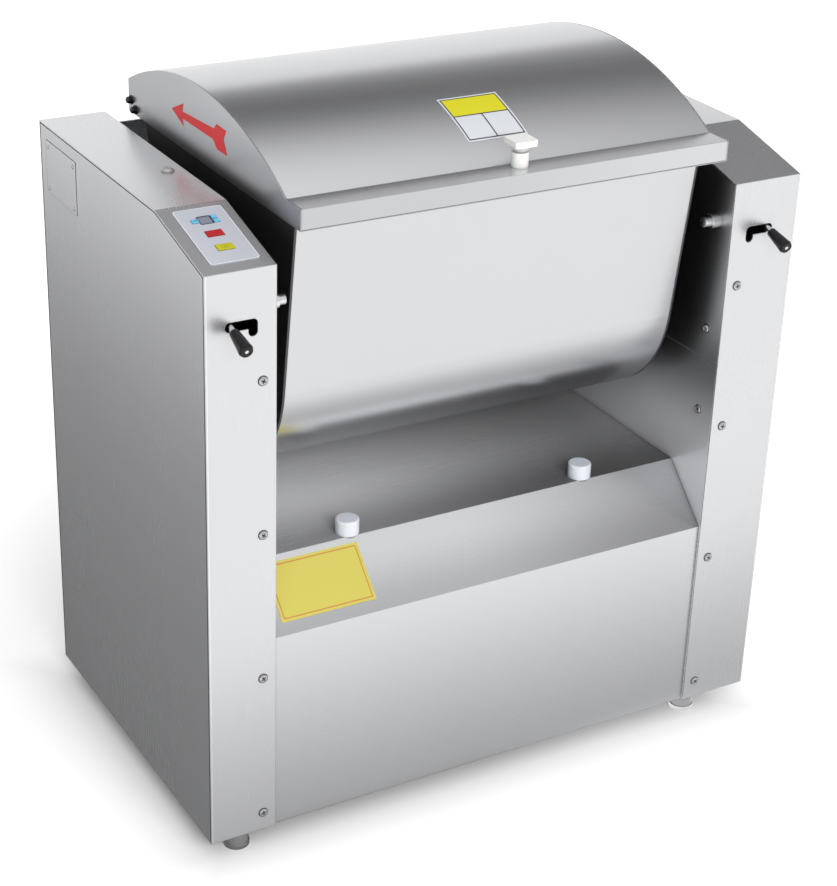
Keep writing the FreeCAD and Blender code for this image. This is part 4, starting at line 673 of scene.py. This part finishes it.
def build_wall_reflection_edges():
    """Painted dark line along the upper edge of the painted reflection on each wall beside the
    bowl.
    """
    for name, x, way in (("left", WALL_LEFT, 1), ("right", WALL_RIGHT, -1)):
        face = x + way * 0.12 * MM
        path = [((face, y, WALL_REFLECTION_EDGE), (0, 0, 1)) for y in (FRONT, FRONT + WALL_REFLECTION_EDGE_REACH)]
        ribbon(f"wall_reflection_edge_{name}", path, 0.7 * MM, plate_shade, "base")


def rounded_corners(left, low, right, high, radius, steps=6):
    """Anticlockwise (u, v) outline of a rectangle with round corners."""
    corners = []
    for centre_u, centre_v, start in (
        (right - radius, low + radius, -90), (right - radius, high - radius, 0),
        (left + radius, high - radius, 90), (left + radius, low + radius, 180),
    ):
        for step in range(steps + 1):
            angle = math.radians(start + 90 * step / steps)
            u = centre_u + radius * math.cos(angle)
            v = centre_v + radius * math.sin(angle)
            corners.append((u, v))
    return corners


OVERLAY_MIDDLE = COVER_LEFT[0].x + 39.3 * MM
OVERLAY_START = 14.5 * MM
OVERLAY_FACE = 0.84 * MM
OVERLAY_HALF = 25.75 * MM
OVERLAY_LENGTH = 92.5 * MM
KEY_FACE = 1.54 * MM
START_KEY = OVERLAY_START + 24.5 * MM
MODE_KEY = (OVERLAY_MIDDLE - 10.4 * MM, OVERLAY_START + 71.2 * MM)


def build_keypad():
    """Light edge of the overlay, frame of the display and marks on the keys."""
    matrix = facet_matrix(OVERLAY_MIDDLE, OVERLAY_START, OVERLAY_FACE)
    edge = rounded_corners(-OVERLAY_HALF, 0, OVERLAY_HALF, OVERLAY_LENGTH, 3.5 * MM)
    frame_line("overlay_edge", edge, 0.5 * MM, 0.8 * MM, matrix, overlay_rim, "base")
    window = rounded_corners(-5.8 * MM, 65.6 * MM, 6.6 * MM, 77.4 * MM, 0.6 * MM, 3)
    frame_line("display_frame", window, -0.5 * MM, 1.2 * MM, matrix, dark_print, "base")
    key_face = facet_matrix(OVERLAY_MIDDLE, START_KEY, KEY_FACE)
    ring = rounded_corners(-3.4 * MM, -2.9 * MM, 3.4 * MM, 2.9 * MM, 2.85 * MM)
    frame_line("start_ring", ring, 0.2 * MM, 0.35 * MM, key_face, key_print, "key_start_body")
    dot = rounded_corners(-0.9 * MM, -0.8 * MM, 0.5 * MM, 0.6 * MM, 0.68 * MM, 3)
    flat_panel("start_dot", dot, key_face, dark_print, "key_start_body")
    bar_face = facet_matrix(*MODE_KEY, KEY_FACE)
    bar = rounded_corners(-1.2 * MM, 0, 2.4 * MM, 1.1 * MM, 0.4 * MM, 3)
    flat_panel("mode_bar", bar, bar_face, dark_print, "key_mode_body")


def lid_arc():
    """Centre (y, z) of the lid's arc."""
    start = Vector((LID_ARC_START, LID_STRIP))
    end = Vector((LID_END_LEFT[1].y, LID_REAR_TOP))
    chord = end - start
    rise = math.sqrt(LID_ARC_RADIUS ** 2 - (chord.length / 2) ** 2)
    across = Vector((chord.y, -chord.x)).normalized()
    return (start + end) / 2 + across * rise


def on_lid(x, y, above=0.0):
    """A point on the lid's arc, or a little above it."""
    middle = lid_arc()
    lean = math.asin((y - middle.x) / LID_ARC_RADIUS)
    reach = LID_ARC_RADIUS + above
    return Vector((x, middle.x + reach * math.sin(lean), middle.y + reach * math.cos(lean)))


def lid_patch(name, left, right, near, far, above, material):
    """A label sheet that follows the lid's arc between two x and two y values."""
    steps = 14
    points = []
    for step in range(steps + 1):
        y = near + (far - near) * step / steps
        points.append(on_lid(left, y, above))
        points.append(on_lid(right, y, above))
    faces = [(2 * step, 2 * step + 1, 2 * step + 3, 2 * step + 2) for step in range(steps)]
    return piece(name, points, faces, material, "lid", smooth=True)


# Label on the lid: its left and right edges, and its near edge, its split and its far edge
LABEL_SIDES = (-35 * MM, 35 * MM)
LABEL_ROWS = (-145.5 * MM, -109 * MM, -79 * MM)
LABEL_RIM = 2.2 * MM
LABEL_LINE = 1.2 * MM


def build_lid_label():
    """Blank two-part label on the lid: a yellow band over two white fields."""
    left, right = LABEL_SIDES
    near, split, far = LABEL_ROWS
    lid_patch("lid_label", left, right, near, far, 0.15 * MM, white_vinyl)
    west, east = left + LABEL_RIM, right - LABEL_RIM
    low, high = near + LABEL_RIM, far - LABEL_RIM
    lid_patch("lid_label_band", west, east, split, high, 0.3 * MM, yellow_vinyl)
    middle = west + (east - west) * 0.5
    lines = (
        ("outer_left", west, west + LABEL_LINE, low, high),
        ("outer_right", east - LABEL_LINE, east, low, high),
        ("middle", middle, middle + LABEL_LINE, low, split),
        ("low", west, east, low, low + LABEL_LINE),
        ("split", west, east, split - LABEL_LINE, split),
        ("high", west, east, high - LABEL_LINE, high),
    )
    for name, *edges in lines:
        lid_patch(f"lid_label_{name}", *edges, 0.42 * MM, dark_print)


def build_lid_skirt_shadow_line():
    """Painted shadow line just above the lower edge of the lid's skirt."""
    low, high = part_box("lid_shell")
    front = low.y - 0.12 * MM
    height = low.z + 1.1 * MM
    path = [((x, front, height), (0, 0, 1)) for x in (low.x, high.x)]
    ribbon("lid_skirt_shadow_line", path, 0.7 * MM, plate_shade, "lid")


# Outline of the arrow on the lid's left end, as (y, z) in millimetres
ARROW = [
    (86.5, 737.8), (56.7, 751.1), (59.4, 741.9), (-16.8, 746.2), (-23.0, 752.7), (-46.0, 752.1),
    (-39.6, 742.0), (-47.4, 726.9), (-24.0, 726.7), (-14.3, 734.5), (59.4, 734.5), (56.5, 726.6),
]


def build_arrow():
    """Red direction arrow on the left end of the lid."""
    x = LID_END_LEFT[0].x - 0.15 * MM
    points = [(x, y * MM, z * MM) for y, z in ARROW]
    piece("lid_arrow", points, [tuple(range(len(ARROW)))], arrow_vinyl, "lid")


# Sill label: its left and right edges in x, and its lower and upper edges up the slope
SILL_LABEL_SIDES = (-261 * MM, -150.5 * MM)
SILL_LABEL_ROWS = (13.5 * MM, 78.6 * MM)


def build_sill_label():
    """Blank yellow label with a thin red frame line on the sloping sill."""
    tilt = math.atan2(TRAY_TOP - SILL_FRONT, SILL_DEPTH)
    slope = Matrix.Translation((0, PANEL_FRONT, SILL_FRONT)) @ Matrix.Rotation(tilt, 4, "X")
    matrix = slope @ Matrix.Translation((0, 0, 0.2 * MM))
    left, right = SILL_LABEL_SIDES
    low, high = SILL_LABEL_ROWS
    corners = [(left, low), (right, low), (right, high), (left, high)]
    flat_panel("sill_label", corners, matrix, yellow_paper, "base")
    above = matrix @ Matrix.Translation((0, 0, 0.12 * MM))
    frame_line("sill_label_line", corners, 3.6 * MM, 0.9 * MM, above, red_print, "base")


# Levers: where they leave the pins, how far they hang, and how far out the grips end
LATCH_Y = -177 * MM
LATCH_Z = 624 * MM
LEVER_SLOPE = math.radians(18)
GRIP_END = 63.05 * MM
ROD_END_PROFILE = [
    (2.1 * MM, -0.05 * MM), (1.9 * MM, 0.3 * MM), (0.9 * MM, 0.45 * MM), (0, 0.4 * MM),
]


def build_grip_dots():
    """Bright end of the lever rod in the flat face of each grip."""
    points, faces = lathe(ROD_END_PROFILE, 20)
    out = Vector((0, -math.cos(LEVER_SLOPE), -math.sin(LEVER_SLOPE)))
    for side in ("left", "right"):
        low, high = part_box(f"latch_lever_{side}")
        at = Vector(((low.x + high.x) / 2, LATCH_Y, LATCH_Z)) + out * GRIP_END
        piece(
            f"grip_dot_{side}", moved(points, outward_matrix(at, out)), faces,
            turned_steel, f"latch_{side}", smooth=True)


FOOT_PROFILE = [
    (12.2 * MM, 3 * MM), (13.2 * MM, 4 * MM), (13.2 * MM, 26 * MM), (12.6 * MM, 26.6 * MM),
    (11.2 * MM, 26.6 * MM),
]


def build_foot_sleeves():
    """Plain round sleeves over the waists of the feet."""
    points, faces = lathe(FOOT_PROFILE, 48)
    for corner in ("front_left", "front_right", "rear_left", "rear_right"):
        low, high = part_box(f"foot_{corner}")
        place = Matrix.Translation(((low.x + high.x) / 2, (low.y + high.y) / 2, 0))
        piece(f"foot_sleeve_{corner}", moved(points, place), faces, foot_steel, "base")


BOLT_PROFILE = [
    (5 * MM, 0), (5 * MM, 1.2 * MM), (3.8 * MM, 1.2 * MM), (3.8 * MM, 3.8 * MM),
    (3.1 * MM, 5.2 * MM), (1.6 * MM, 6 * MM), (0, 6.2 * MM),
]
BOLT_PLACES = ((195.5 * MM, 716 * MM), (184 * MM, 708 * MM))


def build_lid_bolts():
    """Two domed bolts with washers low at the rear of each lid end."""
    for side, x, way in (("left", LID_END_LEFT[0].x, -1), ("right", LID_END_RIGHT[1].x, 1)):
        bolts = []
        for y, z in BOLT_PLACES:
            points, faces = lathe(BOLT_PROFILE, 24)
            bolts.append((moved(points, outward_matrix((x, y, z), (way, 0, 0))), faces))
        piece(f"lid_bolts_{side}", *merged(bolts), black_bolt, "lid", smooth=False)


def build_reflector():
    """White card behind the machine, seen only in the metal."""
    mesh = bpy.data.meshes.new("reflector_card")
    left, right, behind = -0.9, 1.8, 0.42
    low, top = 0.76, 0.985
    corners = [
        (left, behind, low), (right, behind, low), (right, behind, top), (left, behind, top),
    ]
    mesh.from_pydata(corners, [], [(0, 1, 2, 3)])
    card = bpy.data.objects.new("reflector_card", mesh)
    bpy.context.scene.collection.objects.link(card)
    card.visible_camera = False
    card.visible_diffuse = False
    card.visible_shadow = False
    material = bpy.data.materials.new("reflector_card")
    material.use_nodes = True
    tree = material.node_tree
    tree.nodes.clear()
    glow = new_node(tree, "ShaderNodeEmission", Color=(1, 1, 1, 1), Strength=1.0)
    output = new_node(tree, "ShaderNodeOutputMaterial")
    tree.links.new(glow.outputs[0], output.inputs["Surface"])
    mesh.materials.append(material)


def level_ramp(tree, stops):
    """A ramp of grey levels at (position, level) stops."""
    node = new_node(tree, "ShaderNodeValToRGB")
    ramp = node.color_ramp
    ramp.elements[0].position, first = stops[0]
    ramp.elements[0].color = (first, first, first, 1)
    ramp.elements[1].position, last = stops[-1]
    ramp.elements[1].color = (last, last, last, 1)
    for position, level in stops[1:-1]:
        ramp.elements.new(position).color = (level, level, level, 1)
    return node


# Painted levels of the floor's reflection in the metal, darker near the machine, over a reach in
# metres from the machine's front and its left side, as (share of the reach, level)
FLOOR_AHEAD_REACH = 0.6
FLOOR_AHEAD = [(0.0, 0.46), (0.15, 0.54), (0.38, 0.75), (0.55, 0.97), (0.67, 1.09), (1.0, 1.09)]
FLOOR_BESIDE_REACH = 1.0
FLOOR_BESIDE = [
    (0.0, 0.17), (0.1, 0.19), (0.26, 0.23), (0.44, 0.28), (0.58, 0.35), (0.68, 0.56), (0.8, 0.95),
    (1.0, 1.08),
]


def floor_in_metal(tree):
    """Painted reflection of the floor in the metal: dimmer close to the machine's sides."""
    link = tree.links.new
    place = new_node(tree, "ShaderNodeTexCoord")
    axes = new_node(tree, "ShaderNodeSeparateXYZ")
    link(place.outputs["Object"], axes.inputs[0])

    def away(axis, start, reach):
        """Share of the way from the machine to a distance, along one axis."""
        return span(tree, axes.outputs[axis], start, start + reach, 0.0, 1.0, "LINEAR")

    ahead = level_ramp(tree, FLOOR_AHEAD)
    link(away("Y", FRONT, -FLOOR_AHEAD_REACH), ahead.inputs["Fac"])
    beside = level_ramp(tree, FLOOR_BESIDE)
    link(away("X", COVER_LEFT[0].x, -FLOOR_BESIDE_REACH), beside.inputs["Fac"])
    behind = new_node(tree, "ShaderNodeMix", data_type="RGBA")
    behind.inputs[7].default_value = (1.05, 1.05, 1.05, 1)
    link(away("X", 0.0, 0.2), behind.inputs[0])
    link(beside.outputs["Color"], behind.inputs[6])
    whole = new_node(tree, "ShaderNodeMix", data_type="RGBA")
    link(away("Y", FRONT + 0.02, -0.06), whole.inputs[0])
    link(behind.outputs[2], whole.inputs[6])
    link(ahead.outputs["Color"], whole.inputs[7])
    return whole.outputs[2]


def build_stage():
    """Pale floor that keeps the shadow, with painted shadow under the machine and a painted glow
    away from it, and a white studio round it.
    """
    mesh = bpy.data.meshes.new("studio_floor")
    reach = 30
    corners = [(-reach, -reach, 0), (reach, -reach, 0), (reach, reach, 0), (-reach, reach, 0)]
    mesh.from_pydata(corners, [], [(0, 1, 2, 3)])
    floor = bpy.data.objects.new("studio_floor", mesh)
    bpy.context.scene.collection.objects.link(floor)
    material = bpy.data.materials.new("studio_floor")
    material.use_nodes = True
    tree = material.node_tree
    tree.nodes.clear()
    link = tree.links.new
    matt = new_node(tree, "ShaderNodeBsdfDiffuse", Color=(0.82, 0.82, 0.82, 1))
    glow = new_node(tree, "ShaderNodeEmission", Color=(1, 1, 1, 1))
    seen = new_node(tree, "ShaderNodeLightPath")
    place = new_node(tree, "ShaderNodeTexCoord")
    distance = new_node(tree, "ShaderNodeVectorMath", operation="LENGTH")
    link(place.outputs["Object"], distance.inputs[0])
    sides = new_node(tree, "ShaderNodeVectorMath", operation="ABSOLUTE")
    link(place.outputs["Object"], sides.inputs[0])
    axes = new_node(tree, "ShaderNodeSeparateXYZ")
    link(sides.outputs[0], axes.inputs[0])
    # Painted shadow and glow: the floor's glow for the camera falls to a tenth under the machine
    # and rises from 0.3 to 0.75 away from it
    clear = reckoned(
        tree, "MAXIMUM",
        span(tree, axes.outputs["X"], 0.31, 0.43, 0.1, 1.0),
        span(tree, axes.outputs["Y"], 0.17, 0.3, 0.1, 1.0))
    farther = span(tree, distance.outputs["Value"], 0.42, 1.2, 0.3, 0.75)
    painted_floor_glow = reckoned(tree, "MULTIPLY", clear, farther)
    plain = reckoned(
        tree, "MAXIMUM", seen.outputs["Is Camera Ray"], seen.outputs["Is Transmission Ray"])
    level = reckoned(tree, "MULTIPLY", plain, painted_floor_glow)
    link(level, glow.inputs["Strength"])
    added = new_node(tree, "ShaderNodeAddShader")
    link(matt.outputs[0], added.inputs[0])
    link(glow.outputs[0], added.inputs[1])
    # Painted reflection: the metal sees the floor as a glow set by floor_in_metal
    mirrored = new_node(tree, "ShaderNodeEmission")
    link(floor_in_metal(tree), mirrored.inputs["Color"])
    shown = new_node(tree, "ShaderNodeMixShader")
    link(seen.outputs["Is Glossy Ray"], shown.inputs[0])
    link(added.outputs[0], shown.inputs[1])
    link(mirrored.outputs[0], shown.inputs[2])
    output = new_node(tree, "ShaderNodeOutputMaterial")
    link(shown.outputs[0], output.inputs["Surface"])
    mesh.materials.append(material)


# Studio levels in the metal: one for all that is in front of the machine, and for the rest
# (sine of the height above the horizon, level)
SKY_AHEAD = 0.74
SKY_LEVELS = [
    (0.0, 1.08), (0.14, 1.08), (0.28, 0.88), (0.38, 0.45), (0.44, 0.33), (0.52, 0.14),
    (0.62, 0.03), (0.7, 0.13), (0.78, 0.44), (0.85, 0.85), (0.91, 1.05), (1.0, 1.1),
]


def build_world():
    """White all round for camera and reflections, with a darker band overhead for metal."""
    world = bpy.data.worlds.new("studio")
    bpy.context.scene.world = world
    world.use_nodes = True
    tree = world.node_tree
    tree.nodes.clear()
    link = tree.links.new
    seen = new_node(tree, "ShaderNodeLightPath")
    place = new_node(tree, "ShaderNodeTexCoord")
    height = new_node(tree, "ShaderNodeSeparateXYZ")
    link(place.outputs["Generated"], height.inputs[0])
    ceiling = level_ramp(tree, SKY_LEVELS)
    link(height.outputs["Z"], ceiling.inputs["Fac"])
    ahead = span(tree, height.outputs["Y"], 0.0, -0.3, 0.0, 1.0, "LINEAR")
    around = new_node(tree, "ShaderNodeMix", data_type="RGBA")
    around.inputs[7].default_value = (SKY_AHEAD, SKY_AHEAD, SKY_AHEAD, 1)
    link(ahead, around.inputs[0])
    link(ceiling.outputs["Color"], around.inputs[6])
    studio = new_node(tree, "ShaderNodeBackground")
    link(around.outputs[2], studio.inputs["Color"])
    fill = new_node(tree, "ShaderNodeBackground", Color=(0.55, 0.55, 0.56, 1))
    white = new_node(tree, "ShaderNodeBackground", Color=(1, 1, 1, 1))
    for_metal = new_node(tree, "ShaderNodeMixShader")
    link(seen.outputs["Is Glossy Ray"], for_metal.inputs[0])
    link(fill.outputs[0], for_metal.inputs[1])
    link(studio.outputs[0], for_metal.inputs[2])
    plain = reckoned(
        tree, "MAXIMUM", seen.outputs["Is Camera Ray"], seen.outputs["Is Transmission Ray"])
    all_rays = new_node(tree, "ShaderNodeMixShader")
    link(plain, all_rays.inputs[0])
    link(for_metal.outputs[0], all_rays.inputs[1])
    link(white.outputs[0], all_rays.inputs[2])
    output = new_node(tree, "ShaderNodeOutputWorld")
    link(all_rays.outputs[0], output.inputs["Surface"])


def add_softbox(name, at, aim, size, power):
    """A soft rectangular lamp that the metal doesn't mirror."""
    lamp = bpy.data.lights.new(name, "AREA")
    lamp.shape = "RECTANGLE"
    lamp.size, lamp.size_y = size
    lamp.energy = power
    made = bpy.data.objects.new(name, lamp)
    made.location = at
    made.rotation_euler = (Vector(aim) - Vector(at)).to_track_quat("-Z", "Y").to_euler()
    made.visible_glossy = False
    bpy.context.scene.collection.objects.link(made)


EYE = Vector((-1.088756, -1.844774, 1.393557))
LENS = 85.07


def build_camera():
    """A camera at the product view's standpoint: from the front left, above the lid."""
    yaw, pitch, roll = 0.535464, 0.458835, 0.036260
    ahead = Vector((
        math.sin(yaw) * math.cos(pitch), math.cos(yaw) * math.cos(pitch), -math.sin(pitch)))
    level = Vector((math.cos(yaw), -math.sin(yaw), 0))
    upright = level.cross(ahead)
    right = level * math.cos(roll) + upright * math.sin(roll)
    up = upright * math.cos(roll) - level * math.sin(roll)
    data = bpy.data.cameras.new("photo_camera")
    data.lens = LENS
    data.sensor_width = 36
    data.clip_start = 0.01
    data.clip_end = 100
    camera = bpy.data.objects.new("photo_camera", data)
    axes = Matrix((right, up, -ahead)).transposed()
    camera.matrix_world = Matrix.Translation(EYE) @ axes.to_4x4()
    bpy.context.scene.collection.objects.link(camera)
    bpy.context.scene.camera = camera


build_screws()
build_side_plate()
build_side_seams()
build_painted_fold_highlights()
build_wall_reflection_edges()
build_keypad()
build_lid_label()
build_lid_skirt_shadow_line()
build_arrow()
build_sill_label()
build_grip_dots()
build_lid_bolts()
build_foot_sleeves()
build_stage()
build_reflector()
build_world()
add_softbox("key_softbox", (-1.2, -2.6, 3.0), (0, 0, 0.4), (2.4, 1.6), 35)
add_softbox("side_softbox", (3.0, -0.8, 2.2), (0, 0, 0.4), (1.6, 2.0), 30)
add_softbox("low_softbox", (-0.5, -2.5, 1.6), (0, 0, 0.35), (1.6, 0.8), 45)
build_camera()
bpy.context.scene.view_settings.view_transform = "Standard"
